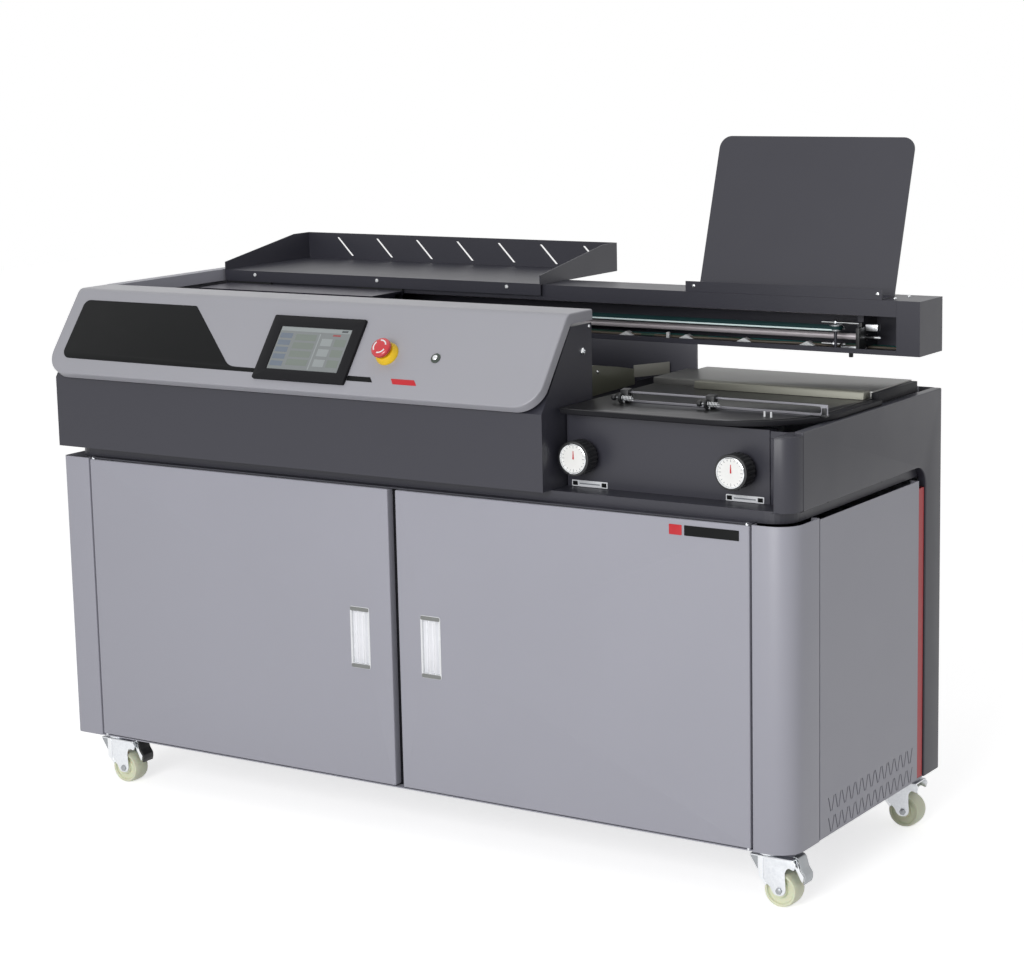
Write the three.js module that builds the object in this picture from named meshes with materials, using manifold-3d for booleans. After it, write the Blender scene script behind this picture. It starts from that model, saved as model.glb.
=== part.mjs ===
// Hot glue binding machine: a cabinet on casters that carries a control console, a carriage beam,
// a cover table, a delivery tray and a document stand. Millimetres, +Z up, front towards -Y.
import * as THREE from 'three';
import { mergeVertices } from 'three/addons/utils/BufferGeometryUtils.js';
import Module from 'manifold-3d';

const wasm = await Module();
wasm.setup();

// Driving dimensions of the whole machine
const cabinetLength = 1640;
const cabinetDepth = 612;
const floorClearance = 105;
const doorHeight = 575;
const neckHeight = 22;
const workingHeight = 1010;
const housingDrop = 173;
const tableBayLength = 484;
const consoleDepth = 173;
const beamHeight = 101;
const beamDepth = 100;
const trayLength = 805;
const trayDepth = 297;
const standWidth = 410;
const standHeight = 300;
const clampLength = 450;
const clampOpening = 60;
const wheelRadius = 32;

// Sheet, clearances and counts shared by the pieces
const sheet = 2;
const seat = 0.25;
const reveal = 4;
const overrun = 5;
const mergeTolerance = 0.001;
const arcSteps = 4;
const roundSides = 20;
const smallSides = 16;
const boltSides = 10;
const halfTurn = Math.PI;
const full = 2 * Math.PI;

// Heights and sides worked out from the driving dimensions
const leftSide = -cabinetLength / 2;
const rightSide = cabinetLength / 2;
const cabinetTop = floorClearance + doorHeight;
const boxBottom = cabinetTop + neckHeight;
const boxTop = workingHeight - housingDrop;

const along = {
  x: new THREE.Vector3(1, 0, 0),
  y: new THREE.Vector3(0, 1, 0),
  z: new THREE.Vector3(0, 0, 1),
};

// A closed mesh becomes a solid once its shared corners are merged
function solid(geometry) {
  const bare = geometry.index ? geometry.toNonIndexed() : geometry.clone();
  bare.deleteAttribute('normal');
  bare.deleteAttribute('uv');
  const merged = mergeVertices(bare, mergeTolerance);
  const vertProperties = merged.attributes.position.array;
  const triVerts = Uint32Array.from(merged.index.array);
  const made = new wasm.Manifold(new wasm.Mesh({ numProp: 3, vertProperties, triVerts }));
  if (made.volume() > 0) return made;
  triVerts.reverse();
  return new wasm.Manifold(new wasm.Mesh({ numProp: 3, vertProperties, triVerts }));
}

function join(first, ...others) {
  return others.reduce((sum, other) => sum.add(other), first);
}

function cut(first, ...others) {
  return others.reduce((rest, other) => rest.subtract(other), first);
}

// An outline is a list of corners [across, up, radius], closed back to its first corner
function shapeOf(corners) {
  const shape = new THREE.Shape();
  const count = corners.length;
  corners.forEach(([u, v, radius], index) => {
    const corner = new THREE.Vector2(u, v);
    const before = new THREE.Vector2(...corners[(index + count - 1) % count].slice(0, 2));
    const after = new THREE.Vector2(...corners[(index + 1) % count].slice(0, 2));
    const inward = before.sub(corner).normalize();
    const outward = after.sub(corner).normalize();
    const place = index === 0 ? shape.moveTo.bind(shape) : shape.lineTo.bind(shape);
    if (!radius) {
      place(corner.x, corner.y);
      return;
    }
    const half = Math.acos(inward.dot(outward)) / 2;
    const start = corner.clone().addScaledVector(inward, radius / Math.tan(half));
    const bisector = inward.clone().add(outward).normalize();
    const centre = corner.clone().addScaledVector(bisector, radius / Math.sin(half));
    const end = corner.clone().addScaledVector(outward, radius / Math.tan(half));
    const clockwise = inward.cross(outward) > 0;
    place(start.x, start.y);
    shape.absarc(
      centre.x,
      centre.y,
      radius,
      Math.atan2(start.y - centre.y, start.x - centre.x),
      Math.atan2(end.y - centre.y, end.x - centre.x),
      clockwise,
    );
  });
  return shape;
}

// The outline of bent sheet: a path of outer corners and the same path set in by the wall.
// A positive wall lies to the left of the path, a negative one to its right.
function bentOutline(path, wall) {
  const points = path.map(([u, v]) => new THREE.Vector2(u, v));
  const side = (from, to) => {
    const step = to.clone().sub(from).normalize();
    return new THREE.Vector2(-step.y, step.x);
  };
  const inner = points.map((point, index) => {
    const back = index > 0 ? side(points[index - 1], point) : null;
    const ahead = index < points.length - 1 ? side(point, points[index + 1]) : null;
    const first = back ?? ahead;
    const second = ahead ?? back;
    const shift = first.clone().add(second).multiplyScalar(wall / (1 + first.dot(second)));
    const turn = first.cross(second);
    const radius = path[index][2] ?? 0;
    const moved = radius > 0 ? Math.max(radius - Math.sign(turn) * wall, 0) : 0;
    return [point.x + shift.x, point.y + shift.y, moved];
  });
  return [...path, ...inner.reverse()];
}

const frames = {
  x: new THREE.Matrix4().makeBasis(along.y, along.z, along.x),
  y: new THREE.Matrix4().makeBasis(along.x, along.z, along.y.clone().negate()),
  z: new THREE.Matrix4(),
};

// An outline carried along one axis from low to high: across x it is drawn in (y, z),
// across y in (x, z) and across z in (x, y)
function carried(axis, corners, low, high) {
  const geometry = new THREE.ExtrudeGeometry(shapeOf(corners), {
    depth: high - low,
    bevelEnabled: false,
    curveSegments: arcSteps,
  });
  geometry.applyMatrix4(frames[axis]);
  const start = axis === 'y' ? high : low;
  geometry.translate(...along[axis].clone().multiplyScalar(start).toArray());
  return solid(geometry);
}

function block([x0, x1], [y0, y1], [z0, z1]) {
  const geometry = new THREE.BoxGeometry(x1 - x0, y1 - y0, z1 - z0);
  geometry.translate((x0 + x1) / 2, (y0 + y1) / 2, (z0 + z1) / 2);
  return solid(geometry);
}

// A round bar along one axis; centre holds the other two coordinates in x, y, z order
function bar(axis, centre, radius, low, high, sides = smallSides) {
  const geometry = new THREE.CylinderGeometry(radius, radius, high - low, sides);
  if (axis === 'x') geometry.rotateZ(-halfTurn / 2);
  if (axis === 'z') geometry.rotateX(halfTurn / 2);
  const place = { x: [0, centre[0], centre[1]], y: [centre[0], 0, centre[1]], z: [centre[0], centre[1], 0] }[axis];
  geometry.translate(...place);
  geometry.translate(...along[axis].clone().multiplyScalar((low + high) / 2).toArray());
  return solid(geometry);
}

// A profile of [radius, distance] turned round an axis through the origin of the piece
function turned(axis, profile, sides = roundSides) {
  const geometry = new THREE.LatheGeometry(profile.map(([r, d]) => new THREE.Vector2(r, d)), sides);
  geometry.rotateY(halfTurn / sides);
  if (axis === 'x') geometry.rotateZ(-halfTurn / 2);
  if (axis === 'z') geometry.rotateX(halfTurn / 2);
  return solid(geometry);
}

function moved(body, x, y, z) {
  return body.translate([x, y, z]);
}

function finish(color, roughness, metalness) {
  return { color, roughness, metalness };
}

const lightGrey = finish(0xa5a5af, 0.45, 0.2);
const darkGrey = finish(0x4a4a52, 0.5, 0.2);
const blackPlastic = finish(0x1d1e20, 0.5, 0);
const brightSteel = finish(0xc9cbcd, 0.25, 0.9);
const tableSteel = finish(0x8c8c84, 0.35, 0.85);
const aluminium = finish(0xb6b9bc, 0.35, 0.8);
const zinc = finish(0xb9bcc0, 0.35, 0.8);
const nylon = finish(0xcdd2af, 0.5, 0);
const red = finish(0xb51e28, 0.45, 0);
const yellow = finish(0xe0b020, 0.45, 0);
const pullWhite = finish(0xdcdcdc, 0.3, 0.3);
const glassGrey = finish(0xbfc5c9, 0.15, 0);

const machine = new THREE.Group();

function add(name, body, look, parent = machine) {
  const raw = body.getMesh();
  const geometry = new THREE.BufferGeometry();
  geometry.setAttribute('position', new THREE.BufferAttribute(raw.vertProperties, 3));
  geometry.setIndex(new THREE.BufferAttribute(raw.triVerts, 1));
  geometry.computeVertexNormals();
  const material = new THREE.MeshStandardMaterial(look);
  const mesh = new THREE.Mesh(geometry, material);
  mesh.name = name;
  parent.add(mesh);
  return mesh;
}

// Casters: their places, the plates under the base and the swivel fork, wheel and pedal
const casterInset = 68;
const casterFrontInset = 50;
const casterRearInset = 52;
const casterTrail = 28;
const casterPlateSize = 62;
const casterPlateRadius = 6;
const casterPlateThickness = 3;
const casterPlaces = [
  ['front_left', leftSide + casterInset, casterFrontInset],
  ['front_right', rightSide - casterInset, casterFrontInset],
  ['rear_left', leftSide + casterInset, cabinetDepth - casterRearInset],
  ['rear_right', rightSide - casterInset, cabinetDepth - casterRearInset],
];

function square(centreX, centreY, size, radius) {
  const half = size / 2;
  return [
    [centreX - half, centreY - half, radius],
    [centreX + half, centreY - half, radius],
    [centreX + half, centreY + half, radius],
    [centreX - half, centreY + half, radius],
  ];
}

// Cabinet: base frame, end panels, corner post, back and deck
const cornerRadius = 45;
const leftColumnWidth = 68;
const rightColumnWidth = 76;
const columnReturn = 18;
const sideSeam = 106;
const sideReturn = 16;
const sidePanelDrop = 3;
const panelGap = 1.5;
const accentGap = 1;
const accentWidth = 28;
const accentColumnGap = 3;
const rearColumnDepth = 67;
const doorThickness = 18;
const doorBackGap = 2;
const lipStart = 2;
const railHeight = 40;
const railWidth = 40;
const middleRail = 50;
const rearFold = 20;
const shellReturn = 16;
const sideInside = sheet + seat;
const foldInside = shellReturn + seat;
const innerDepth = cabinetDepth - sideInside;
const baseFront = doorThickness + doorBackGap;
const columnFront = cabinetDepth - rearColumnDepth;
const accentStart = columnFront - accentColumnGap - accentWidth;
const sidePanelEnd = accentStart - accentGap;
const sidePanelBottom = floorClearance + sidePanelDrop;
const doorwayLeft = leftSide + leftColumnWidth;
const doorwayRight = rightSide - rightColumnWidth;
const railTop = floorClearance + railHeight;

function cabinetOutline(leftInset, rightInset, front, radius) {
  return [
    [leftSide + leftInset, front, radius],
    [rightSide - rightInset, front, radius],
    [rightSide - rightInset, innerDepth],
    [leftSide + leftInset, innerDepth],
  ];
}

const hingeInset = 6;
const hingePinRadius = 4;
const hingeAxes = [
  [doorwayLeft + reveal + hingeInset, hingeInset],
  [doorwayRight - reveal - hingeInset, hingeInset],
];

function hingeHoles(low, high) {
  return hingeAxes.map(([x, y]) => bar('z', [x, y], hingePinRadius + seat, low - overrun, high + overrun));
}

function makeBaseFrame() {
  const outline = cabinetOutline(sideInside, foldInside, baseFront, cornerRadius - sideInside);
  const bayLeft = [leftSide + sideInside + railWidth, -middleRail / 2];
  const bayRight = [middleRail / 2, rightSide - foldInside - railWidth];
  const bayDepth = [baseFront + railWidth, innerDepth - railWidth];
  const below = [floorClearance - overrun, railTop - sheet];
  const tray = cut(
    carried('z', outline, floorClearance, railTop),
    block(bayLeft, bayDepth, below),
    block(bayRight, bayDepth, below),
  );
  const lip = cut(
    block([doorwayLeft, doorwayRight], [lipStart, baseFront + sheet], [floorClearance, floorClearance + sheet]),
    ...hingeHoles(floorClearance, floorClearance + sheet),
  );
  const ledge = block(
    [rightSide - foldInside - overrun, rightSide - sideInside],
    [sideSeam + seat, accentStart + accentWidth],
    [floorClearance, sidePanelBottom - seat],
  );
  const plates = casterPlaces.map(([, x, y]) => carried(
    'z',
    square(x, y, casterPlateSize, 0),
    floorClearance - casterPlateThickness,
    floorClearance + sheet,
  ));
  return join(tray, lip, ledge, ...plates);
}

add('base_frame', makeBaseFrame(), darkGrey);

// Ventilation slits: two rows of slots that lean to and fro
const slitHeight = 27;
const slitWidthShare = 0.234;
const slitLeanShare = 0.657;
const slitPairs = 13;
const leftSlitRows = 1;
const rightSlitRows = 2;
const slitFieldInset = 30;
const slitFieldMargin = 21;
const slitFieldRise = 6;
const slitRowPitch = 37;

function slitCutters(low, high, rows) {
  const start = sideSeam + slitFieldInset;
  const pitch = (sidePanelEnd - slitFieldMargin - start) / (slitPairs * 2);
  const slitWidth = pitch * slitWidthShare;
  const slitLean = pitch * slitLeanShare;
  const cutters = [];
  for (let row = 0; row < rows; row += 1) {
    const bottom = floorClearance + slitFieldRise + row * slitRowPitch;
    for (let index = 0; index < slitPairs * 2; index += 1) {
      const lean = index % 2 === 0 ? slitLean : -slitLean;
      const foot = start + pitch * (index + 1 / 2) + lean / 2;
      cutters.push(carried('x', [
        [foot, bottom],
        [foot + slitWidth, bottom],
        [foot + slitWidth - lean, bottom + slitHeight],
        [foot - lean, bottom + slitHeight],
      ], low, high));
    }
  }
  return cutters;
}

const leftPanelPath = [
  [doorwayLeft, columnReturn],
  [doorwayLeft, 0],
  [leftSide, 0, cornerRadius],
  [leftSide, cabinetDepth],
  [leftSide + rearFold, cabinetDepth],
];
const leftPanel = carried('z', bentOutline(leftPanelPath, -sheet), floorClearance, cabinetTop);
add('left_end_panel', cut(leftPanel, ...slitCutters(leftSide - overrun, leftSide + overrun, leftSlitRows)), lightGrey);

const postPath = [
  [doorwayRight, columnReturn],
  [doorwayRight, 0],
  [rightSide, 0, cornerRadius],
  [rightSide, sideSeam],
  [rightSide - sideReturn, sideSeam],
];
add('right_corner_post', carried('z', bentOutline(postPath, sheet), floorClearance, cabinetTop), lightGrey);

const sidePanelPath = [
  [rightSide - sideReturn, sideSeam + panelGap],
  [rightSide, sideSeam + panelGap],
  [rightSide, sidePanelEnd],
  [rightSide - sideReturn, sidePanelEnd],
];
const sidePanel = carried('z', bentOutline(sidePanelPath, sheet), sidePanelBottom, cabinetTop - sidePanelDrop);
add('right_side_panel', cut(sidePanel, ...slitCutters(rightSide - overrun, rightSide + overrun, rightSlitRows)), lightGrey);

// Right end shell: dark side sheet of the upper box and rear column, in one folded piece
const notchRadius = 38;
const upperSeam = 44;
const rearReturn = 45;

function shellOutline(inset) {
  return [
    [upperSeam + inset, boxBottom + inset],
    [columnFront + inset, boxBottom + inset, notchRadius + inset],
    [columnFront + inset, floorClearance + inset],
    [cabinetDepth - inset, floorClearance + inset],
    [cabinetDepth - inset, boxTop - inset],
    [upperSeam + inset, boxTop - inset],
  ];
}

function makeEndShell() {
  const outer = carried('x', shellOutline(0), rightSide - rearReturn, rightSide);
  const inner = carried('x', shellOutline(sheet), rightSide - rearReturn - overrun, rightSide - sheet);
  const trimmed = [rightSide - rearReturn - overrun, rightSide - shellReturn];
  const allHeights = [floorClearance - overrun, boxTop + overrun];
  const trim = block(trimmed, [upperSeam - overrun, cabinetDepth - sheet], allHeights);
  return cut(outer, inner, trim);
}

add('right_end_shell', makeEndShell(), darkGrey);

const accentRecess = 3;
const accentFace = rightSide - accentRecess;
const accentBack = rightSide - sideReturn;
add('accent_strip', carried('z', bentOutline([
  [accentBack, accentStart],
  [accentFace, accentStart],
  [accentFace, accentStart + accentWidth],
  [accentBack, accentStart + accentWidth],
], sheet), sidePanelBottom, cabinetTop - notchRadius / 2), red);

// Back panel with cooling slots and the opening for the mains inlet
const backSlotCount = 9;
const backSlotWidth = 130;
const backSlotHeight = 5;
const backSlotPitch = 14;
const backSlotDrop = 160;
const backSlotShares = [0.24, 0.7];
const inletWidth = 48;
const inletHeight = 28;
const inletInset = 200;
const inletRise = 85;
const inletPlace = rightSide - inletInset;
const inletLevel = floorClearance + inletRise;
const backLeft = leftSide + rearFold + seat;
const backRight = rightSide - rearReturn - seat;
const backPlane = [cabinetDepth - sheet, cabinetDepth];

function makeBackPanel() {
  const panel = block([backLeft, backRight], backPlane, [floorClearance, boxTop]);
  const through = [cabinetDepth - overrun, cabinetDepth + overrun];
  const slots = backSlotShares.flatMap((share) => Array.from({ length: backSlotCount }, (_, index) => {
    const x = backLeft + (backRight - backLeft) * share;
    const low = cabinetTop - backSlotDrop + index * backSlotPitch;
    return block([x, x + backSlotWidth], through, [low, low + backSlotHeight]);
  }));
  const inlet = block(
    [inletPlace - inletWidth / 2, inletPlace + inletWidth / 2],
    through,
    [inletLevel - inletHeight / 2, inletLevel + inletHeight / 2],
  );
  return cut(panel, ...slots, inlet);
}

add('back_panel', makeBackPanel(), lightGrey);

const inletFlange = 6;
const inletDepth = 30;
const inletWall = 3;
const inletPinRadius = 2;
const inletPinSpacing = 7;

function makeInlet() {
  const wide = inletWidth / 2 - seat;
  const tall = inletHeight / 2 - seat;
  const face = cabinetDepth + seat;
  const flange = block(
    [inletPlace - wide - inletFlange, inletPlace + wide + inletFlange],
    [face, face + inletWall],
    [inletLevel - tall - inletFlange, inletLevel + tall + inletFlange],
  );
  const cup = block(
    [inletPlace - wide, inletPlace + wide],
    [face - inletDepth, face + inletWall],
    [inletLevel - tall, inletLevel + tall],
  );
  const hollow = block(
    [inletPlace - wide + inletWall, inletPlace + wide - inletWall],
    [face - inletDepth + inletWall, face + inletWall + overrun],
    [inletLevel - tall + inletWall, inletLevel + tall - inletWall],
  );
  const pins = [-1, 0, 1].map((place) => bar(
    'y',
    [inletPlace + place * inletPinSpacing, inletLevel],
    inletPinRadius,
    face - inletDepth + inletWall / 2,
    face - inletWall,
    smallSides / 2,
  ));
  return join(cut(join(flange, cup), hollow), ...pins);
}

add('power_inlet', makeInlet(), blackPlastic);

// Deck that closes the cabinet and makes the recessed neck under the upper housings
const deckBottom = cabinetTop + seat;
const deckTop = boxBottom - seat;

function makeDeck() {
  const outer = carried('z', cabinetOutline(foldInside, foldInside, baseFront, cornerRadius), deckBottom, deckTop);
  const inset = foldInside + sheet;
  const inside = cabinetOutline(inset, inset, baseFront + sheet, cornerRadius - sheet);
  const inner = carried('z', inside, deckBottom - overrun, deckTop - sheet);
  const lip = cut(
    block([doorwayLeft, doorwayRight], [lipStart, baseFront + sheet], [deckBottom, deckBottom + sheet]),
    ...hingeHoles(deckBottom, deckBottom + sheet),
  );
  return join(cut(outer, inner), lip);
}

add('top_deck', makeDeck(), darkGrey);

// Doors: folded pans that turn on pins in the base and deck lips, with recessed pulls
const doorGap = 12;
const doorWall = 1.5;
const doorClear = 2;
const pullWidth = 45;
const pullHeight = 116;
const pullDepth = 14;
const pullFrame = 3;
const pullProud = 1.5;
const pullWall = 1.5;
const pullRadius = 8;
const pullFromEdge = 75;
const pullBelowTop = 235;
const pullSeat = seat;
const doorBottom = floorClearance + sheet + doorClear;
const doorTop = cabinetTop - doorClear;
const doorWidth = (doorwayRight - doorwayLeft - 2 * reveal - doorGap) / 2;
const pullTop = cabinetTop - pullBelowTop;

function pullOutline(centre, grow) {
  const half = pullWidth / 2 + grow;
  return [
    [centre - half, pullTop - pullHeight - grow, pullRadius + grow],
    [centre + half, pullTop - pullHeight - grow, pullRadius + grow],
    [centre + half, pullTop + grow, pullRadius + grow],
    [centre - half, pullTop + grow, pullRadius + grow],
  ];
}

function makeDoor(low, high, pullCentre, hinge) {
  const pan = cut(
    block([low, high], [0, doorThickness], [doorBottom, doorTop]),
    block([low + doorWall, high - doorWall], [doorWall, doorThickness + overrun], [doorBottom + doorWall, doorTop - doorWall]),
    carried('y', pullOutline(pullCentre, -pullFrame), -overrun, overrun),
  );
  const pin = (from, to) => bar('z', hinge, hingePinRadius, from, to);
  return join(
    pan,
    pin(floorClearance, doorBottom + doorWall),
    pin(doorTop - doorWall, deckBottom + sheet),
  );
}

function makePull(centre) {
  const flange = carried('y', pullOutline(centre, 0), -pullProud, -pullSeat);
  const cup = carried('y', pullOutline(centre, -pullFrame - seat), -pullProud, pullDepth);
  const hollow = carried('y', pullOutline(centre, -pullFrame - seat - pullWall), -pullProud - overrun, pullDepth - pullWall);
  return cut(join(flange, cup), hollow);
}

const leftDoorLow = doorwayLeft + reveal;
const leftDoorHigh = leftDoorLow + doorWidth;
const rightDoorHigh = doorwayRight - reveal;
const rightDoorLow = rightDoorHigh - doorWidth;
const leftPull = leftDoorHigh - pullFromEdge;
const rightPull = rightDoorLow + pullFromEdge;
add('door_left', makeDoor(leftDoorLow, leftDoorHigh, leftPull, hingeAxes[0]), lightGrey);
add('pull_left', makePull(leftPull), pullWhite);
add('door_right', makeDoor(rightDoorLow, rightDoorHigh, rightPull, hingeAxes[1]), lightGrey);
add('pull_right', makePull(rightPull), pullWhite);

// Caster forks turn under the base plates; each wheel turns on the bolt through its fork
const forkTop = floorClearance - casterPlateThickness - seat;
const raceRadius = 20;
const raceWaist = 16;
const raceHeight = 9;
const forkCrown = 22;
const forkInside = 15;
const forkWall = 2.5;
const axleRadius = 5;
const axleOverhang = 5;
const wheelWidth = 24;
const wheelHubWidth = 27;
const wheelHubRadius = 13;
const treadRadius = 5;
const webRadius = 24;
const webWidth = 14;
const runningGap = 0.3;
const pedalPivotX = 38;
const pedalPinRadius = 3;
const pedalReach = 36;
const pedalRoot = 10;
const pedalThickness = 3;
const pedalEarHeight = 9;
const pedalClear = 8.8;
const wheelApothem = wheelRadius * Math.cos(halfTurn / roundSides);
const pedalPivotZ = 2 * wheelApothem + pedalClear;

function makeFork(withPedal) {
  const raceLow = forkTop - raceHeight;
  const race = turned('z', [
    [0, forkTop],
    [raceRadius, forkTop],
    [raceRadius, forkTop - raceHeight / 3],
    [raceWaist, forkTop - raceHeight / 2],
    [raceRadius, raceLow],
    [0, raceLow],
  ], smallSides);
  const outside = forkInside + forkWall;
  const crown = block([-raceRadius, forkCrown + axleRadius], [-outside, outside], [raceLow - forkWall, raceLow]);
  const legOutline = [
    [-raceRadius, raceLow],
    [casterTrail - axleRadius * 2, wheelApothem - axleRadius * 2, axleRadius],
    [casterTrail + axleRadius * 2, wheelApothem - axleRadius * 2, axleRadius],
    [pedalPivotX + pedalPinRadius * 2, pedalPivotZ, pedalPinRadius],
    [pedalPivotX + pedalPinRadius, pedalPivotZ + pedalPinRadius * 3, pedalPinRadius],
    [forkCrown, raceLow],
  ];
  const legs = [-outside, forkInside].map((low) => carried('y', legOutline, low, low + forkWall));
  const bolt = bar('y', [casterTrail, wheelApothem], axleRadius, -outside - axleOverhang, outside + axleOverhang, boltSides);
  const fork = join(race, crown, ...legs, bolt);
  if (!withPedal) return fork;
  const pivotRadius = pedalPinRadius + runningGap;
  const pivotHole = bar('y', [pedalPivotX, pedalPivotZ], pivotRadius, -outside - overrun, outside + overrun, boltSides);
  return cut(fork, pivotHole);
}

function makeWheel() {
  const half = wheelWidth / 2;
  const bore = axleRadius + runningGap;
  const profile = [
    [bore, -wheelHubWidth / 2],
    [wheelHubRadius, -wheelHubWidth / 2],
    [wheelHubRadius, -webWidth / 2],
    [webRadius, -webWidth / 2],
    [webRadius, -half],
    [wheelRadius - treadRadius, -half],
    [wheelRadius, -half + treadRadius],
    [wheelRadius, half - treadRadius],
    [wheelRadius - treadRadius, half],
    [webRadius, half],
    [webRadius, webWidth / 2],
    [wheelHubRadius, webWidth / 2],
    [wheelHubRadius, wheelHubWidth / 2],
    [bore, wheelHubWidth / 2],
    [bore, -wheelHubWidth / 2],
  ];
  return moved(turned('y', profile), casterTrail, 0, wheelApothem);
}

function makePedal() {
  const inside = forkInside + forkWall + seat;
  const outside = inside + pedalThickness;
  const tongue = block(
    [pedalPivotX + pedalRoot, pedalPivotX + pedalReach],
    [-outside, outside],
    [pedalPivotZ + pedalEarHeight - pedalThickness, pedalPivotZ + pedalEarHeight],
  );
  const earOutline = [
    [pedalPivotX - pedalPinRadius * 2, pedalPivotZ - pedalPinRadius * 2, pedalPinRadius],
    [pedalPivotX + pedalPinRadius * 2, pedalPivotZ - pedalPinRadius * 2, pedalPinRadius],
    [pedalPivotX + pedalReach * 2 / 3, pedalPivotZ + pedalEarHeight - pedalThickness],
    [pedalPivotX + pedalReach * 2 / 3, pedalPivotZ + pedalEarHeight],
    [pedalPivotX - pedalPinRadius * 2, pedalPivotZ + pedalEarHeight, pedalPinRadius],
  ];
  const ears = [-outside, inside].map((low) => carried('y', earOutline, low, low + pedalThickness));
  const pin = bar('y', [pedalPivotX, pedalPivotZ], pedalPinRadius, -outside, outside, smallSides / 2);
  return join(tongue, ...ears, pin);
}

casterPlaces.forEach(([place, x, y]) => {
  const caster = new THREE.Group();
  caster.position.set(x, y, 0);
  const braked = place.startsWith('front');
  add(`caster_fork_${place}`, makeFork(braked), zinc, caster);
  add(`caster_wheel_${place}`, makeWheel(), nylon, caster);
  if (braked) add(`brake_pedal_${place}`, makePedal(), place.endsWith('left') ? blackPlastic : zinc, caster);
  machine.add(caster);
});

// Console: a dark body under a light fascia that leans back
const consoleLip = 8;
const consoleOverhang = 8;
const bodyInset = 2;
const slopeRunShare = 0.71;
const slopeTopSetback = 82;
const fasciaDepth = 24;
const fasciaSkin = 2.5;
const fasciaLength = 198;
const fasciaCorner = 62;
const bendRadius = 20;
const consoleLeft = leftSide - consoleLip;
const consoleRight = rightSide - tableBayLength;
const consoleBack = consoleDepth - consoleOverhang;
const slopeLength = Math.hypot(1, slopeRunShare);
const slopeY = slopeRunShare / slopeLength;
const slopeZ = 1 / slopeLength;

// A point of the slope: down is the distance below its top edge, out the distance in front of it
function slopePoint(down, out) {
  return [slopeTopSetback - down * slopeY - out * slopeZ, workingHeight - down * slopeZ + out * slopeY];
}

// Where the slope, set back by some depth, meets a level height or an upright plane
function slopeAtHeight(height, depth) {
  const down = (workingHeight - height - depth * slopeY) / slopeZ;
  return [slopePoint(down, -depth)[0], height];
}

function slopeAtPlane(plane, depth) {
  const down = (slopeTopSetback + depth * slopeZ - plane) / slopeY;
  return [plane, slopePoint(down, -depth)[1]];
}

function bodyOutline(inset, past) {
  const depth = fasciaDepth + seat + inset;
  return [
    [-consoleOverhang + inset, boxBottom - past],
    slopeAtPlane(-consoleOverhang + inset, depth),
    slopeAtHeight(workingHeight - depth, depth),
    [consoleBack - inset, workingHeight - depth],
    [consoleBack - inset, boxBottom - past],
  ];
}

const bodyRight = consoleRight - bodyInset;
add('console_body', cut(
  carried('x', bodyOutline(0, 0), leftSide, bodyRight),
  carried('x', bodyOutline(sheet, overrun), leftSide + sheet, bodyRight - sheet),
), darkGrey);

// The fascia is a folded tray: its slope has round lower corners and its top runs back level
function fasciaOutline(inset, past) {
  const low = fasciaLength - inset;
  const depth = fasciaDepth + past;
  return [
    slopePoint(low, -inset),
    [...slopeAtHeight(workingHeight - inset, inset), bendRadius - inset],
    [consoleBack + past, workingHeight - inset],
    [consoleBack + past, workingHeight - depth],
    slopeAtHeight(workingHeight - depth, depth),
    slopePoint(low, -depth),
  ];
}

function fasciaStencil(inset) {
  const reach = fasciaLength + consoleDepth;
  const radius = fasciaCorner - inset;
  const geometry = new THREE.ExtrudeGeometry(shapeOf([
    [consoleLeft + inset, -fasciaLength + inset, radius],
    [consoleRight - inset, -fasciaLength + inset, radius],
    [consoleRight - inset, reach],
    [consoleLeft + inset, reach],
  ]), { depth: reach * 2, bevelEnabled: false, curveSegments: arcSteps * 2 });
  geometry.translate(0, 0, -reach);
  const upSlope = new THREE.Vector3(0, slopeY, slopeZ);
  const outSlope = new THREE.Vector3(0, -slopeZ, slopeY);
  geometry.applyMatrix4(new THREE.Matrix4().makeBasis(along.x, upSlope, outSlope));
  geometry.translate(0, slopeTopSetback, workingHeight);
  return solid(geometry);
}

// Controls on the slope: places are [along x, down the slope]
const screenFromRight = 535;
const screenDown = 103;
const screenWidth = 214;
const screenHeight = 136;
const screenCorner = 8;
const displayWidth = 166;
const displayHeight = 93;
const stopFromRight = 353;
const stopDown = 104;
const startFromRight = 244;
const startDown = 106;
const screenPlace = [consoleRight - screenFromRight, screenDown];
const stopPlace = [consoleRight - stopFromRight, stopDown];
const startPlace = [consoleRight - startFromRight, startDown];
const stopNeckRadius = 11;
const startNeckRadius = 8;
const screenBackInset = 8;

function slopeHole(place, shape) {
  const geometry = new THREE.ExtrudeGeometry(shapeOf(shape), { depth: 2 * fasciaDepth, bevelEnabled: false, curveSegments: arcSteps });
  geometry.translate(place[0], -place[1], -fasciaDepth);
  return geometry;
}

function onSlope(geometry) {
  const upSlope = new THREE.Vector3(0, slopeY, slopeZ);
  const outSlope = new THREE.Vector3(0, -slopeZ, slopeY);
  geometry.applyMatrix4(new THREE.Matrix4().makeBasis(along.x, upSlope, outSlope));
  geometry.translate(0, slopeTopSetback, workingHeight);
  return solid(geometry);
}

function rectangle(width, height, radius = 0) {
  return [
    [-width / 2, -height / 2, radius],
    [width / 2, -height / 2, radius],
    [width / 2, height / 2, radius],
    [-width / 2, height / 2, radius],
  ];
}

function roundHole(place, radius) {
  const geometry = new THREE.CylinderGeometry(radius, radius, 2 * fasciaDepth, smallSides);
  geometry.rotateX(halfTurn / 2);
  geometry.translate(place[0], -place[1], 0);
  return geometry;
}

const screenBack = [screenWidth - 2 * screenBackInset, screenHeight - 2 * screenBackInset];

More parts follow.
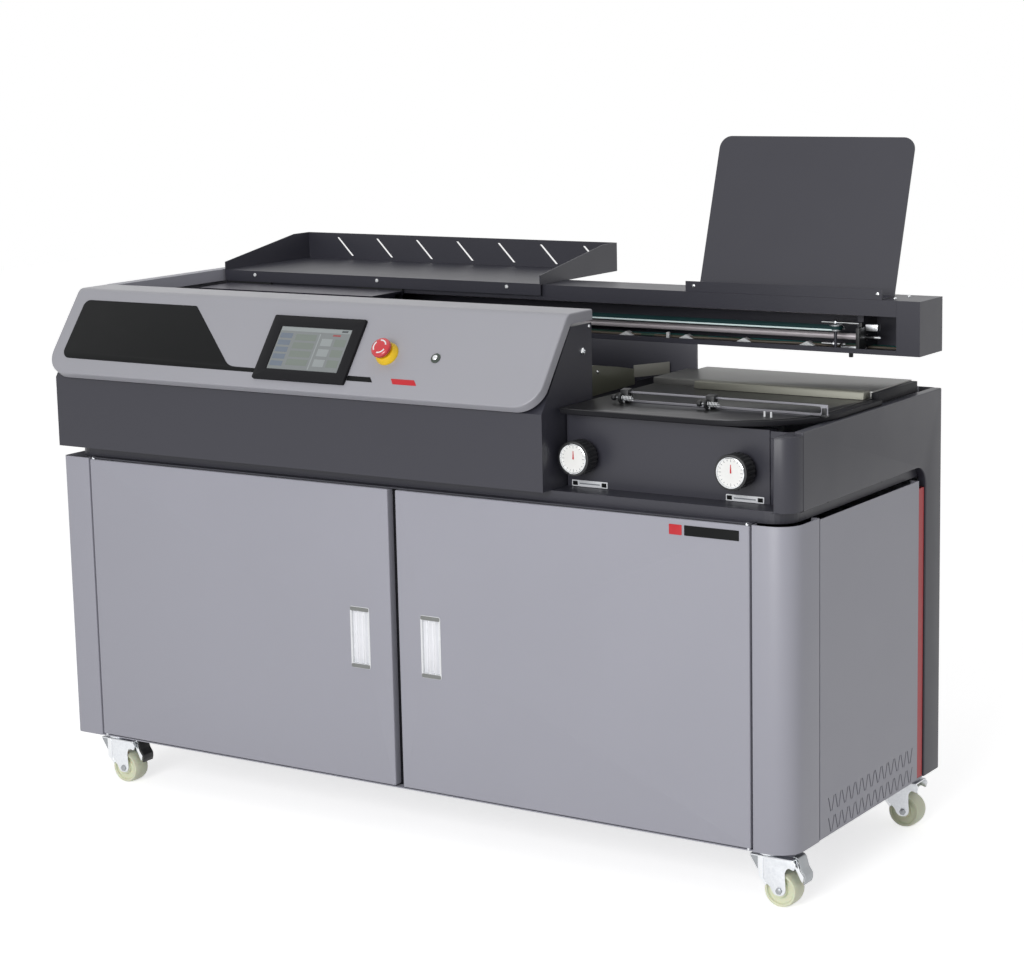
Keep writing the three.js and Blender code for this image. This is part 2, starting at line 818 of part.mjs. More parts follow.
function makeFascia() {
  const outer = carried('x', fasciaOutline(0, 0), consoleLeft, consoleRight).intersect(fasciaStencil(0));
  const hollow = fasciaOutline(fasciaSkin, overrun);
  const inner = carried('x', hollow, consoleLeft + fasciaSkin, consoleRight - fasciaSkin)
    .intersect(fasciaStencil(fasciaSkin));
  return cut(
    outer,
    inner,
    onSlope(slopeHole(screenPlace, rectangle(screenBack[0] + 2 * seat, screenBack[1] + 2 * seat))),
    onSlope(roundHole(stopPlace, stopNeckRadius + seat)),
    onSlope(roundHole(startPlace, startNeckRadius + seat)),
  );
}

add('fascia', makeFascia(), finish(0xa3a3a8, 0.4, 0.25));

// The controls stand on the slope in a group whose z axis points straight out of it
const slopeGroup = new THREE.Group();
slopeGroup.position.set(0, slopeTopSetback, workingHeight);
slopeGroup.rotation.x = Math.atan2(slopeZ, slopeY);
machine.add(slopeGroup);

const bezelProud = 7;
const bezelBackDepth = 15;
const displayRecess = 1.5;
const displayThickness = 4;

function flat(corners, low, high, steps = arcSteps) {
  const geometry = new THREE.ExtrudeGeometry(shapeOf(corners), { depth: high - low, bevelEnabled: false, curveSegments: steps });
  geometry.translate(0, 0, low);
  return solid(geometry);
}

const screenGroup = new THREE.Group();
screenGroup.position.set(screenPlace[0], -screenPlace[1], 0);
slopeGroup.add(screenGroup);
const displayTop = bezelProud - displayRecess;
const displayLow = displayTop - displayThickness;
add('screen_bezel', cut(
  join(
    flat(rectangle(screenWidth, screenHeight, screenCorner), seat, bezelProud),
    flat(rectangle(...screenBack), -bezelBackDepth, bezelProud / 2),
  ),
  flat(rectangle(displayWidth + 2 * seat, displayHeight + 2 * seat), displayLow - seat, bezelProud + overrun),
), blackPlastic, screenGroup);
add('touch_screen', flat(rectangle(displayWidth, displayHeight), displayLow, displayTop), glassGrey, screenGroup);

const collarRadius = 22.5;
const collarHeight = 14;
const collarTop = 19;
const stopRadius = 20;
const stopCap = 13;
const stopLowShare = 0.9;
const stopCrownShare = 0.85;
const stopTravel = 4;
const stopStemRadius = 7;
const stopNeckDepth = 16;
const stopWallInside = stopStemRadius + runningGap;

const stopGroup = new THREE.Group();
stopGroup.position.set(stopPlace[0], -stopPlace[1], 0);
slopeGroup.add(stopGroup);
add('estop_collar', turned('z', [
  [stopWallInside, -stopNeckDepth],
  [stopNeckRadius, -stopNeckDepth],
  [stopNeckRadius, seat],
  [collarRadius, seat],
  [collarTop, collarHeight],
  [stopWallInside, collarHeight],
  [stopWallInside, -stopNeckDepth],
]), yellow, stopGroup);
const stopLow = collarHeight + stopTravel + seat;
add('estop_button', turned('z', [
  [0, -stopNeckDepth + stopTravel + seat],
  [stopStemRadius, -stopNeckDepth + stopTravel + seat],
  [stopStemRadius, stopLow],
  [stopRadius * stopLowShare, stopLow],
  [stopRadius, stopLow + stopCap / 3],
  [stopRadius, stopLow + stopCap * 2 / 3],
  [stopRadius * stopCrownShare, stopLow + stopCap],
  [0, stopLow + stopCap],
]), red, stopGroup);

const startRadius = 10;
const startProud = 4;
const startCrownShare = 0.8;
const startNeckDepth = 18;
const startTravel = 3;
const startGroup = new THREE.Group();
startGroup.position.set(startPlace[0], -startPlace[1], 0);
slopeGroup.add(startGroup);
add('start_button', turned('z', [
  [0, -startNeckDepth],
  [startNeckRadius, -startNeckDepth],
  [startNeckRadius, startTravel + seat],
  [startRadius, startTravel + seat],
  [startRadius, startTravel + startProud * 2 / 3],
  [startRadius * startCrownShare, startTravel + startProud],
  [0, startTravel + startProud],
], smallSides), brightSteel, startGroup);

// Left upper cover: closes the left end between the console and the beam
const coverFold = 28;
const coverFront = consoleBack + seat;
add('left_upper_cover', carried('y', bentOutline([
  [consoleLeft + coverFold, workingHeight - fasciaDepth],
  [consoleLeft + coverFold, workingHeight],
  [consoleLeft, workingHeight],
  [consoleLeft, boxBottom],
  [consoleLeft + coverFold, boxBottom],
], sheet), coverFront, cabinetDepth), lightGrey);

// Knob panel and upper corner post of the right housing
const knobPanelSetback = 73;
const knobPanelDrop = 6;
const knobPanelFold = 28;
const upperPostWidth = 78;
const upperPostFlank = 38;
const upperPostFront = 6;
const upperPostRadius = 36;
const knobPanelTop = boxTop - knobPanelDrop;
const upperPostLeft = rightSide - upperPostWidth;
const upperFlank = rightSide - upperPostFlank;
const knobLeftInset = 38;
const knobRightInset = 53;
const knobRise = 58;
const knobPlaces = [consoleRight + knobLeftInset, upperPostLeft - knobRightInset];
const knobLevel = boxBottom + knobRise;
const knobShaftRadius = 6;
const knobPanel = carried('x', bentOutline([
  [knobPanelSetback + knobPanelFold, knobPanelTop],
  [knobPanelSetback, knobPanelTop],
  [knobPanelSetback, boxBottom],
  [knobPanelSetback + knobPanelFold, boxBottom],
], sheet), consoleRight + seat, upperPostLeft - seat);
add('knob_panel', cut(knobPanel, ...knobPlaces.map((x) => bar(
  'y',
  [x, knobLevel],
  knobShaftRadius + runningGap,
  knobPanelSetback - overrun,
  knobPanelSetback + overrun,
))), darkGrey);

const postPathUpper = [
  [upperPostLeft, knobPanelSetback + knobPanelFold],
  [upperPostLeft, knobPanelSetback],
  [upperFlank, knobPanelSetback],
  [upperFlank, upperPostFront],
  [rightSide, upperPostFront, upperPostRadius],
  [rightSide, upperSeam - panelGap],
];
const postCap = carried('z', [
  [upperFlank, knobPanelSetback + sheet],
  [upperFlank, upperPostFront],
  [rightSide, upperPostFront, upperPostRadius],
  [rightSide, upperSeam - panelGap],
  [rightSide - shellReturn - panelGap, upperSeam - panelGap],
  [rightSide - shellReturn - panelGap, knobPanelSetback + sheet],
], knobPanelTop - sheet, knobPanelTop);
add('upper_corner_post', join(
  carried('z', bentOutline(postPathUpper, sheet), boxBottom, knobPanelTop),
  postCap,
), darkGrey);

// Dial knobs: ribbed grips with a bezel and a sunk face, on shafts through the panel
const knobRadius = 32;
const knobGripRadius = 30;
const knobRibCount = 20;
const knobDepth = 45;
const knobBezelDepth = 7;
const knobFaceRadius = 27;
const knobFaceSink = 3;
const knobBackRadius = 22;
const knobBackDepth = 8;
const knobShaftBack = 16;
const knobCollarRadius = 10;
const knobCollarWidth = 5;

function makeKnob() {
  const ribs = [];
  for (let index = 0; index < knobRibCount * 2; index += 1) {
    const angle = (index + 1 / 2) * full / (knobRibCount * 2);
    const radius = index % 2 === 0 ? knobRadius - panelGap / 2 : knobGripRadius;
    ribs.push([radius * Math.cos(angle), radius * Math.sin(angle)]);
  }
  const face = -knobDepth;
  const grip = carried('y', ribs, face + knobBezelDepth, -knobBackDepth);
  const bezel = turned('y', [
    [0, face + knobFaceSink],
    [knobFaceRadius, face + knobFaceSink],
    [knobFaceRadius, face],
    [knobRadius - sheet, face],
    [knobRadius, face + sheet],
    [knobRadius, face + knobBezelDepth],
    [0, face + knobBezelDepth + overrun],
  ]);
  const back = turned('y', [
    [0, -knobBackDepth - overrun],
    [knobBackRadius, -knobBackDepth - overrun],
    [knobBackRadius, -seat],
    [knobShaftRadius, -seat],
    [knobShaftRadius, sheet + runningGap],
    [knobCollarRadius, sheet + runningGap],
    [knobCollarRadius, sheet + runningGap + knobCollarWidth],
    [knobShaftRadius, sheet + runningGap + knobCollarWidth],
    [knobShaftRadius, knobShaftBack],
    [0, knobShaftBack],
  ]);
  return join(grip, bezel, back);
}

['left', 'right'].forEach((side, index) => {
  const group = new THREE.Group();
  group.position.set(knobPlaces[index], knobPanelSetback, knobLevel);
  add(`knob_${side}`, makeKnob(), blackPlastic, group);
  machine.add(group);
});

// Rear wall under the beam, and the beam: a folded channel that is open to the front
const beamTop = workingHeight - 3;
const beamWall = 3;
const beamFrontLip = 30;
const beamBottomLip = 9;
const beamBottom = beamTop - beamHeight;
const beamFront = cabinetDepth - beamDepth;
const beamLeft = consoleLeft + coverFold + sheet;
const endBoxLength = 47;
const beamRight = rightSide - endBoxLength;
const rearWallReach = 22;
const rearWallRight = consoleRight + rearWallReach;
const rearWall = cut(
  block([beamLeft, rearWallRight], [beamFront, innerDepth], [boxBottom, beamBottom - seat]),
  block(
    [beamLeft + sheet, rearWallRight - sheet],
    [beamFront + sheet, innerDepth - sheet],
    [boxBottom - overrun, beamBottom - seat - sheet],
  ),
);

// Carriage drive: two guide rods, a toothed belt on two pulleys, and the motor below the left one
const lowerRodSetback = 54;
const lowerRodRise = 24;
const upperRodSetback = 78;
const upperRodRise = 66;
const lowerRod = [beamFront + lowerRodSetback, beamBottom + lowerRodRise];
const upperRod = [beamFront + upperRodSetback, beamBottom + upperRodRise];
const rodRadius = 6;
const rodLeftInset = 8;
const rodRightInset = 83;
const rodLeft = beamLeft + rodLeftInset;
const rodRight = beamRight - rodRightInset;
const bracketThickness = 12;
const bracketSetback = 38;
const pulleyRadius = 10;
const pulleyFlange = 12.5;
const beltThickness = 2;
const beltWidth = 6;
const beltRise = 44;
const beltSetback = 19;
const drivePulleyInset = 56;
const idlerPulleyInset = 48;
const beltLevel = beamBottom + beltRise;
const beltLine = beamFront + beltSetback;
const drivePulleyX = beamLeft + drivePulleyInset;
const idlerPulleyX = rodRight - idlerPulleyInset;
const pulleyPinRadius = 3;
const motorRadius = 28;
const motorLength = 90;
const motorHole = 12;

function makeBeam() {
  const channel = carried('x', bentOutline([
    [beamFront, beamTop - beamFrontLip],
    [beamFront, beamTop],
    [cabinetDepth, beamTop],
    [cabinetDepth, beamBottom],
    [beamFront, beamBottom],
    [beamFront, beamBottom + beamBottomLip],
  ], -beamWall), beamLeft, beamRight);
  const brackets = [rodLeft, rodRight - bracketThickness].map((x) => block(
    [x, x + bracketThickness],
    [beamFront + bracketSetback, cabinetDepth - beamWall / 2],
    [beamBottom + beamWall / 2, beamTop - beamWall / 2],
  ));
  const rodHoles = [lowerRod, upperRod].map((centre) => bar('x', centre, rodRadius + seat, beamLeft + overrun, beamRight - overrun));
  const pin = bar('z', [idlerPulleyX, beltLine], pulleyPinRadius, beamBottom + beamWall / 2, beltLevel + beltWidth);
  const motorWay = bar('z', [drivePulleyX, beltLine], motorHole, beamBottom - overrun, beamBottom + beamWall + overrun);
  return join(channel, cut(join(...brackets), ...rodHoles), pin).subtract(motorWay);
}

add('beam_channel', makeBeam(), darkGrey);
const motorWayBelow = bar('z', [drivePulleyX, beltLine], motorHole, beamBottom - seat - sheet - overrun, beamBottom + overrun);
const motorCentreY = beamFront + sheet + seat + motorRadius;
add('rear_wall', cut(rearWall, motorWayBelow), darkGrey);

const endBoxWall = 2.5;
add('beam_end_box', cut(
  block([beamRight + seat, rightSide], [beamFront, cabinetDepth], [beamBottom, beamTop]),
  block(
    [beamRight - overrun, rightSide - endBoxWall],
    [beamFront + endBoxWall, cabinetDepth - endBoxWall],
    [beamBottom + endBoxWall, beamTop - endBoxWall],
  ),
), darkGrey);

add('guide_rod_lower', bar('x', lowerRod, rodRadius, rodLeft + seat, rodRight - seat), brightSteel);
add('guide_rod_upper', bar('x', upperRod, rodRadius, rodLeft + seat, rodRight - seat), brightSteel);

function beltLoop(radius) {
  const corner = radius - mergeTolerance;
  return [
    [drivePulleyX - radius, beltLine - radius, corner],
    [idlerPulleyX + radius, beltLine - radius, corner],
    [idlerPulleyX + radius, beltLine + radius, corner],
    [drivePulleyX - radius, beltLine + radius, corner],
  ];
}

const beltInside = pulleyRadius + seat;
const beltRange = [beltLevel - beltWidth / 2, beltLevel + beltWidth / 2];
add('drive_belt', cut(
  carried('z', beltLoop(beltInside + beltThickness), ...beltRange),
  carried('z', beltLoop(beltInside), beltRange[0] - overrun, beltRange[1] + overrun),
), finish(0xd6e4e4, 0.5, 0));

const flangeGap = 1;
const flangeThickness = 1.5;

function makePulley(x, boreRadius) {
  const low = -beltWidth / 2 - flangeGap;
  const high = beltWidth / 2 + flangeGap;
  const profile = [
    [boreRadius, low - flangeThickness],
    [pulleyFlange, low - flangeThickness],
    [pulleyFlange, low],
    [pulleyRadius, low],
    [pulleyRadius, high],
    [pulleyFlange, high],
    [pulleyFlange, high + flangeThickness],
    [boreRadius, high + flangeThickness],
    [boreRadius, low - flangeThickness],
  ];
  return moved(turned('z', profile, smallSides), x, beltLine, beltLevel);
}

add('drive_pulley', makePulley(drivePulleyX, pulleyPinRadius + runningGap), aluminium);
add('idler_pulley', makePulley(idlerPulleyX, pulleyPinRadius + runningGap), aluminium);

const motorTop = beamBottom - seat - sheet - seat;
const motorCollarRadius = 11;
add('carriage_motor', join(
  bar('z', [drivePulleyX, motorCentreY], motorRadius, motorTop - motorLength, motorTop, roundSides),
  bar('z', [drivePulleyX, beltLine], motorCollarRadius, motorTop - overrun, beamBottom + beamWall, smallSides),
  bar('z', [drivePulleyX, beltLine], pulleyPinRadius, motorTop, beltLevel + beltWidth, smallSides),
), blackPlastic);

// Clamp carriage: bearing blocks on the rods, an arm out of the beam, and the two jaws
const clampInset = 60;
const clampLeft = leftSide + clampInset;
const clampRight = clampLeft + clampLength;
const jawHang = 22;
const jawHeight = 101;
const jawThickness = 15;
const jawBottom = beamBottom - jawHang;
const jawTop = jawBottom + jawHeight;
const screwClear = 7;
const screwStroke = 64;
const crossbarThickness = 14;
const crossbarHeight = 34;
const carriageRearGap = 32;
const carriageBarDepth = 30;
const frontGapShare = 0.43;
const screwFront = consoleBack + screwClear;
const crossbarFront = screwFront + screwStroke;
const crossbarBack = crossbarFront + crossbarThickness;
const carriageBar = [beamFront - carriageRearGap - carriageBarDepth, beamFront - carriageRearGap];
const jawFreeDepth = carriageBar[0] - crossbarBack - clampOpening - 2 * jawThickness;
const movingJawBack = crossbarBack + jawFreeDepth * frontGapShare + jawThickness;
const jawFace = movingJawBack + clampOpening;
const barRise = 19;
const carriageBarBottom = beamBottom + barRise;
const armHeight = 16;
const armRise = 15;
const armBottom = beamBottom + armRise;
const blockLength = 60;
const blockInset = 150;
const blockFrontSetback = 40;
const blockBackGap = 6;
const blockBottomRise = 11;
const blockTopGap = 17;
const blockFront = beamFront + blockFrontSetback;
const blockBack = cabinetDepth - blockBackGap;
const blockBottom = beamBottom + blockBottomRise;
const blockTop = beamTop - blockTopGap;
const jawFlange = 10;
const beltGripLength = 60;
const beltGripThickness = 4;
const slideRodRadius = 8;
const slideRodInset = 28;
const slideRodDrop = 35;
const slideRodLevel = jawTop - slideRodDrop;
const screwRadius = 9;

const slideRods = [clampLeft + slideRodInset, clampRight - slideRodInset];
const clampMiddle = (clampLeft + clampRight) / 2;

function makeCarriage() {
  const blocks = [clampLeft + blockInset, clampRight - blockInset - blockLength].map((x) => block(
    [x, x + blockLength],
    [blockFront, blockBack],
    [blockBottom, blockTop],
  ));
  const bores = [lowerRod, upperRod].map((centre) => bar('x', centre, rodRadius + runningGap, clampLeft, clampRight));
  const armSpan = [clampLeft + blockInset, clampRight - blockInset];
  const arm = block(armSpan, [carriageBar[0] + overrun, blockFront + overrun], [armBottom, armBottom + armHeight]);
  const rearBar = block([clampLeft, clampRight], carriageBar, [carriageBarBottom, jawTop]);
  const barHollow = block(
    [clampLeft - overrun, clampRight + overrun],
    [carriageBar[0] + overrun, carriageBar[1] - overrun],
    [carriageBarBottom + armHeight + overrun, jawTop - overrun],
  );
  const rods = slideRods.map((x) => bar('y', [x, slideRodLevel], slideRodRadius, crossbarFront, carriageBar[0] + overrun));
  const beltFace = beltLine - pulleyFlange - runningGap;
  const beltGrip = block(
    [clampMiddle - beltGripLength / 2, clampMiddle + beltGripLength / 2],
    [beltFace - beltGripThickness, beltFace],
    [armBottom, beltLevel + beltWidth / 2],
  );
  const crossbar = block(
    [clampLeft, clampRight],
    [crossbarFront, crossbarFront + crossbarThickness],
    [slideRodLevel - crossbarHeight / 2, slideRodLevel + crossbarHeight / 2],
  );
  const nut = bar('y', [clampMiddle, slideRodLevel], screwRadius + runningGap, crossbarFront - overrun, carriageBar[0]);
  return join(cut(join(...blocks), ...bores), arm, cut(rearBar, barHollow), ...rods, beltGrip, cut(crossbar, nut));
}

function rodPassages(clear) {
  const low = crossbarFront - overrun;
  return slideRods.map((x) => bar('y', [x, slideRodLevel], slideRodRadius + clear, low, carriageBar[1]));
}

add('clamp_carriage', makeCarriage(), aluminium);
add('fixed_jaw', cut(
  join(
    block([clampLeft, clampRight], [jawFace, jawFace + jawThickness], [jawBottom, jawTop]),
    block([clampLeft, clampRight], [jawFace, carriageBar[0] - seat], [jawTop - jawFlange, jawTop]),
  ),
  ...rodPassages(seat),
), brightSteel);
const movingJawRelief = 6;
add('moving_jaw', join(
  cut(
    block([clampLeft, clampRight], [movingJawBack - jawThickness, movingJawBack], [jawBottom, jawTop]),
    block(
      [clampLeft - overrun, clampRight + overrun],
      [movingJawBack - jawThickness - overrun, movingJawBack - jawThickness + movingJawRelief],
      [jawBottom - overrun, slideRodLevel - crossbarHeight],
    ),
    ...rodPassages(runningGap),
  ),
  bar('y', [clampMiddle, slideRodLevel], screwRadius, screwFront, movingJawBack - jawThickness / 2),
), brightSteel);

// Milling station: motor on the deck with its shaft up into the toothed cutter
const spineLine = jawFace - clampOpening / 2;
const cutterShare = 0.5825;
const cutterX = consoleLeft + (consoleRight - consoleLeft) * cutterShare;
const cutterRadius = 78;
const cutterClear = 8;
const cutterTop = jawBottom - cutterClear;
const cutterThickness = 10;
const cutterTeeth = 12;
const cutterToothDepth = 9;
const cutterHubRadius = 20;
const cutterHubHeight = 22;
const shaftRadius = 9;
const motorBodyRadius = 62;
const motorBodyDrop = 40;
const motorBodyTop = cutterTop - motorBodyDrop;
const motorFootHeight = 12;
const motorFootWidth = 150;

function makeCutter() {
  const rim = [];
  const teethAngle = full / cutterTeeth;
  for (let tooth = 0; tooth < cutterTeeth; tooth += 1) {
    const angle = tooth * teethAngle;
    rim.push([cutterRadius * Math.cos(angle), cutterRadius * Math.sin(angle)]);
    rim.push([
      (cutterRadius - cutterToothDepth) * Math.cos(angle + teethAngle / 3),
      (cutterRadius - cutterToothDepth) * Math.sin(angle + teethAngle / 3),
    ]);
    rim.push([
      (cutterRadius - cutterToothDepth) * Math.cos(angle + teethAngle * 3 / 4),
      (cutterRadius - cutterToothDepth) * Math.sin(angle + teethAngle * 3 / 4),
    ]);
  }
  const low = cutterTop - cutterThickness;
  const disc = carried('z', rim, low, cutterTop);
  const hub = bar('z', [0, 0], cutterHubRadius, low - cutterHubHeight, low + seat);
  const bore = bar('z', [0, 0], shaftRadius + runningGap, low - cutterHubHeight - overrun, low);
  return moved(cut(join(disc, hub), bore), cutterX, spineLine, 0);
}

add('milling_cutter', makeCutter(), brightSteel);
add('milling_motor', join(
  bar('z', [cutterX, spineLine], motorBodyRadius, boxBottom + motorFootHeight - seat, motorBodyTop, roundSides),
  carried('z', square(cutterX, spineLine, motorFootWidth, casterPlateRadius), boxBottom, boxBottom + motorFootHeight),
  bar('z', [cutterX, spineLine], shaftRadius, motorBodyTop - seat, cutterTop - cutterThickness - seat),
), blackPlastic);

// Glue station: a heated open tank on legs, with the roller that wets the spine
const rollerShare = 0.81;
const rollerX = consoleLeft + (consoleRight - consoleLeft) * rollerShare;
const tankHalfLength = 100;
const tankHalfWidth = 82;
const tankRise = 70;
const tankClear = 18;
const tankX = [rollerX - tankHalfLength, rollerX + tankHalfLength];
const tankY = [spineLine - tankHalfWidth, spineLine + tankHalfWidth];
const tankBottom = boxBottom + tankRise;
const tankTop = jawBottom - tankClear;
const tankWall = 5;
const tankLeg = 16;
const rollerRadius = 34;
const rollerClear = 6;
const rollerLevel = jawBottom - rollerClear - rollerRadius;
const rollerHalf = 62;
const rollerShaft = 8;
const rollerShaftOut = 12;

function makeTank() {
  const shell = cut(
    block(tankX, tankY, [tankBottom, tankTop]),
    block(
      [tankX[0] + tankWall, tankX[1] - tankWall],
      [tankY[0] + tankWall, tankY[1] - tankWall],
      [tankBottom + tankWall, tankTop + overrun],
    ),
  );
  const legs = [tankX[0], tankX[1] - tankLeg].flatMap((x) => [tankY[0], tankY[1] - tankLeg].map((y) => block(
    [x, x + tankLeg],
    [y, y + tankLeg],
    [boxBottom, tankBottom + tankWall],
  )));
  const journal = bar('y', [rollerX, rollerLevel], rollerShaft + runningGap, tankY[0] - overrun, tankY[1] + overrun);
  return cut(join(shell, ...legs), journal);
}

add('glue_tank', makeTank(), aluminium);
add('glue_roller', join(
  bar('y', [rollerX, rollerLevel], rollerRadius, spineLine - rollerHalf, spineLine + rollerHalf, roundSides),
  bar('y', [rollerX, rollerLevel], rollerShaft, tankY[0] - rollerShaftOut, tankY[1] + rollerShaftOut),
), brightSteel);

// Cover table: a rear plate, a lower front plate with one large round corner, and its lift post
const tableLeftGap = 6;
const tableRightGap = 28;
const tableBackReach = 28;
const tableFrontReach = 11;
const tableClear = 24;
const tableLeft = consoleRight + tableLeftGap;
const tableRight = rightSide - tableRightGap;
const tableBack = beamFront + tableBackReach;
const tableFront = knobPanelSetback - tableFrontReach;
const tableTop = jawBottom - tableClear;
const tablePlate = 10;
const tableStep = 12;
const tableCorner = 150;
const tableWallGap = 6;
const tableNotchGap = 12;
const tableRearLeft = rearWallRight + tableWallGap;
const tableRearStart = beamFront - tableNotchGap;
const liftPost = 90;
const liftPlace = (tableLeft + tableRight) / 2;
const nipGap = 2;

function makeTable() {
  const rear = carried('z', [
    [tableLeft, jawFace],
    [tableRight, jawFace],
    [tableRight, tableBack],
    [tableRearLeft, tableBack],
    [tableRearLeft, tableRearStart],
    [tableLeft, tableRearStart],
  ], tableTop - tablePlate - tableStep, tableTop);
  const frontTop = tableTop - tableStep;
  const front = carried('z', [
    [tableLeft, tableFront],
    [tableRight, tableFront, tableCorner],
    [tableRight, jawFace + seat],
    [tableLeft, jawFace + seat],
  ], frontTop - tablePlate, frontTop);
  const post = block(
    [liftPlace - liftPost / 2, liftPlace + liftPost / 2],
    [spineLine - liftPost / 2, spineLine + liftPost / 2],
    [boxBottom, frontTop - tablePlate + seat],
  );
  return join(rear, front, post);
}

add('cover_table', makeTable(), tableSteel);

const frontPlateTop = tableTop - tableStep;
const nipInset = 90;
const plateMargin = 5;
const nipLeft = tableLeft + nipInset;
const nipWidth = 26;
const nipHeight = 14;
add('nip_plate', block(
  [nipLeft, tableRight - plateMargin],
  [jawFace - nipGap - nipWidth, jawFace - nipGap],
  [frontPlateTop + seat, frontPlateTop + nipHeight],
), tableSteel);

const guideSetback = 88;
const guideInset = 50;
const guideLine = tableFront + guideSetback;
const guideThickness = 4;
const guideHeight = 20;
const guideLeft = tableLeft + guideInset;
const guideWindow = 9;
const guideFrame = 14;
add('guide_bar', cut(
  block(
    [guideLeft, tableRight - plateMargin],
    [guideLine, guideLine + guideThickness],
    [frontPlateTop + seat, frontPlateTop + guideHeight],
  ),
  block(
    [guideLeft + guideFrame, tableRight - plateMargin - guideFrame],
    [guideLine - overrun, guideLine + guideThickness + overrun],
    [frontPlateTop + guideHeight / 2 - guideWindow / 2, frontPlateTop + guideHeight / 2 + guideWindow / 2],
  ),
), brightSteel);

// Cover stops: saddles on the guide bar, each held by a thumb screw
const stopFirst = 26;
const stopSpacing = 174;
const stopPlaces = [guideLeft + stopFirst, guideLeft + stopFirst + stopSpacing];
const stopLength = 22;
const stopWallThickness = 6;
const stopCrown = 5;
const thumbRadius = 9;
const thumbLength = 14;
const thumbStem = 4;

function makeStop() {
  const back = guideLine + guideThickness + stopWallThickness;
  const front = guideLine - stopWallThickness;
  const top = frontPlateTop + guideHeight + stopCrown;
  const saddle = block([-stopLength / 2, stopLength / 2], [front, back], [frontPlateTop + seat, top]);
  const slot = block(
    [-stopLength, stopLength],
    [guideLine - runningGap, guideLine + guideThickness + runningGap],
    [frontPlateTop - overrun, frontPlateTop + guideHeight + runningGap],
  );
  const level = frontPlateTop + guideHeight / 2;
  const thumb = bar('y', [0, level], thumbRadius, front - thumbLength, front - thumbStem, smallSides);
  const stem = bar('y', [0, level], thumbStem, front - thumbLength, front + stopWallThickness / 2, smallSides);
  return join(cut(saddle, slot), thumb, stem);
}

['left', 'right'].forEach((side, index) => {
  add(`cover_stop_${side}`, moved(makeStop(), stopPlaces[index], 0, 0), blackPlastic);
});

// Delivery tray on the beam: floor, front lip, rising sides and a slotted back
const traySheet = 2;
const trayReach = 9;
const trayFront = beamFront - trayReach;
const trayFloor = beamTop + seat;
const trayLipDrop = 23;
const traySideFront = 19;
const traySideBack = 59;
const traySlopeEnd = 55;
const traySlotCount = 7;
const traySlotWidth = 6;
const traySlotHeight = 40;
const traySlotRun = 39;
const traySlotInsetShare = 0.1;
const traySlotPitchShare = 0.133;
const trayInset = 3;
const trayLeft = beamLeft + trayInset;
const trayRight = trayLeft + trayLength;
const trayBack = trayFront + trayDepth;

function makeTray() {
  const floor = block([trayLeft, trayRight], [trayFront, trayBack], [trayFloor, trayFloor + traySheet]);
  const lip = block([trayLeft, trayRight], [trayFront, trayFront + traySheet], [trayFloor + traySheet - trayLipDrop, trayFloor + traySheet]);
  const sideOutline = [
    [trayFront, trayFloor],
    [trayBack, trayFloor],
    [trayBack, trayFloor + traySideBack],
    [trayBack - traySlopeEnd, trayFloor + traySideBack],
    [trayFront, trayFloor + traySideFront],
  ];
  const sides = [trayLeft, trayRight - traySheet].map((x) => carried('x', sideOutline, x, x + traySheet));
  const back = block([trayLeft, trayRight], [trayBack - traySheet, trayBack], [trayFloor, trayFloor + traySideBack]);
  const slots = Array.from({ length: traySlotCount }, (_, index) => {
    const x = trayLeft + trayLength * (traySlotInsetShare + index * traySlotPitchShare);
    const top = trayFloor + (traySideBack + traySlotHeight) / 2;
    return carried('y', [
      [x, top],
      [x + traySlotRun, top - traySlotHeight],
      [x + traySlotRun + traySlotWidth, top - traySlotHeight],
      [x + traySlotWidth, top],
    ], trayBack - overrun, trayBack + overrun);
  });
  return join(floor, lip, ...sides, cut(back, ...slots));
}

add('delivery_tray', makeTray(), darkGrey);

const trayBracketLength = 116;
const trayBracketDrop = 37;
const trayBracketCorner = 14;
const trayBracketInset = 6;
const trayBracketSpacing = 344;
const trayBracketPlaces = [trayLeft + trayBracketInset, trayLeft + trayBracketInset + trayBracketSpacing];
['left', 'right'].forEach((side, index) => {
  const low = trayBracketPlaces[index];
  const bottom = trayFloor - trayBracketDrop;
  add(`tray_bracket_${side}`, carried('y', [
    [low, bottom, trayBracketCorner / 2],
    [low + trayBracketLength, bottom, trayBracketCorner / 2],
    [low + trayBracketLength, trayFloor - seat, trayBracketCorner],
    [low, trayFloor - seat],
  ], trayFront + traySheet + seat, beamFront - seat), darkGrey);
});

// Document stand: folded sheet with a front lip, a shelf and a plate that leans back
const standSheet = 2.5;
const standOverlap = 2;
const standLeft = consoleRight - standOverlap;
const standLip = 17;
const standShelf = 52;
const standLeanAngle = 18;
const standCorner = 24;
const standFloor = beamTop + seat + standSheet;
const standFront = beamFront + standSheet;

function makeStand() {
  const lean = THREE.MathUtils.degToRad(standLeanAngle);
  const channel = carried('x', bentOutline([
    [standFront, standFloor + standLip],
    [standFront, standFloor],
    [standFront + standShelf, standFloor],
    [standFront + standShelf + standLip * Math.sin(lean), standFloor + standLip * Math.cos(lean)],
  ], -standSheet), standLeft, standLeft + standWidth);
  const geometry = new THREE.ExtrudeGeometry(shapeOf([
    [0, 0],
    [standWidth, 0],
    [standWidth, standHeight, standCorner],
    [0, standHeight, standCorner],
  ]), { depth: standSheet, bevelEnabled: false, curveSegments: arcSteps });
  geometry.translate(0, 0, -standSheet);
  geometry.rotateX(halfTurn / 2 - lean);
  geometry.translate(standLeft, standFront + standShelf, standFloor);
  return join(channel, solid(geometry));
}

add('document_stand', makeStand(), darkGrey);

// The origin lies on the floor under the middle of the machine's outer box
const extent = new THREE.Box3().setFromObject(machine);
const middle = extent.getCenter(new THREE.Vector3());
machine.position.set(-middle.x, -middle.y, -extent.min.z);

export default machine;
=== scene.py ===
import math
from functools import partial

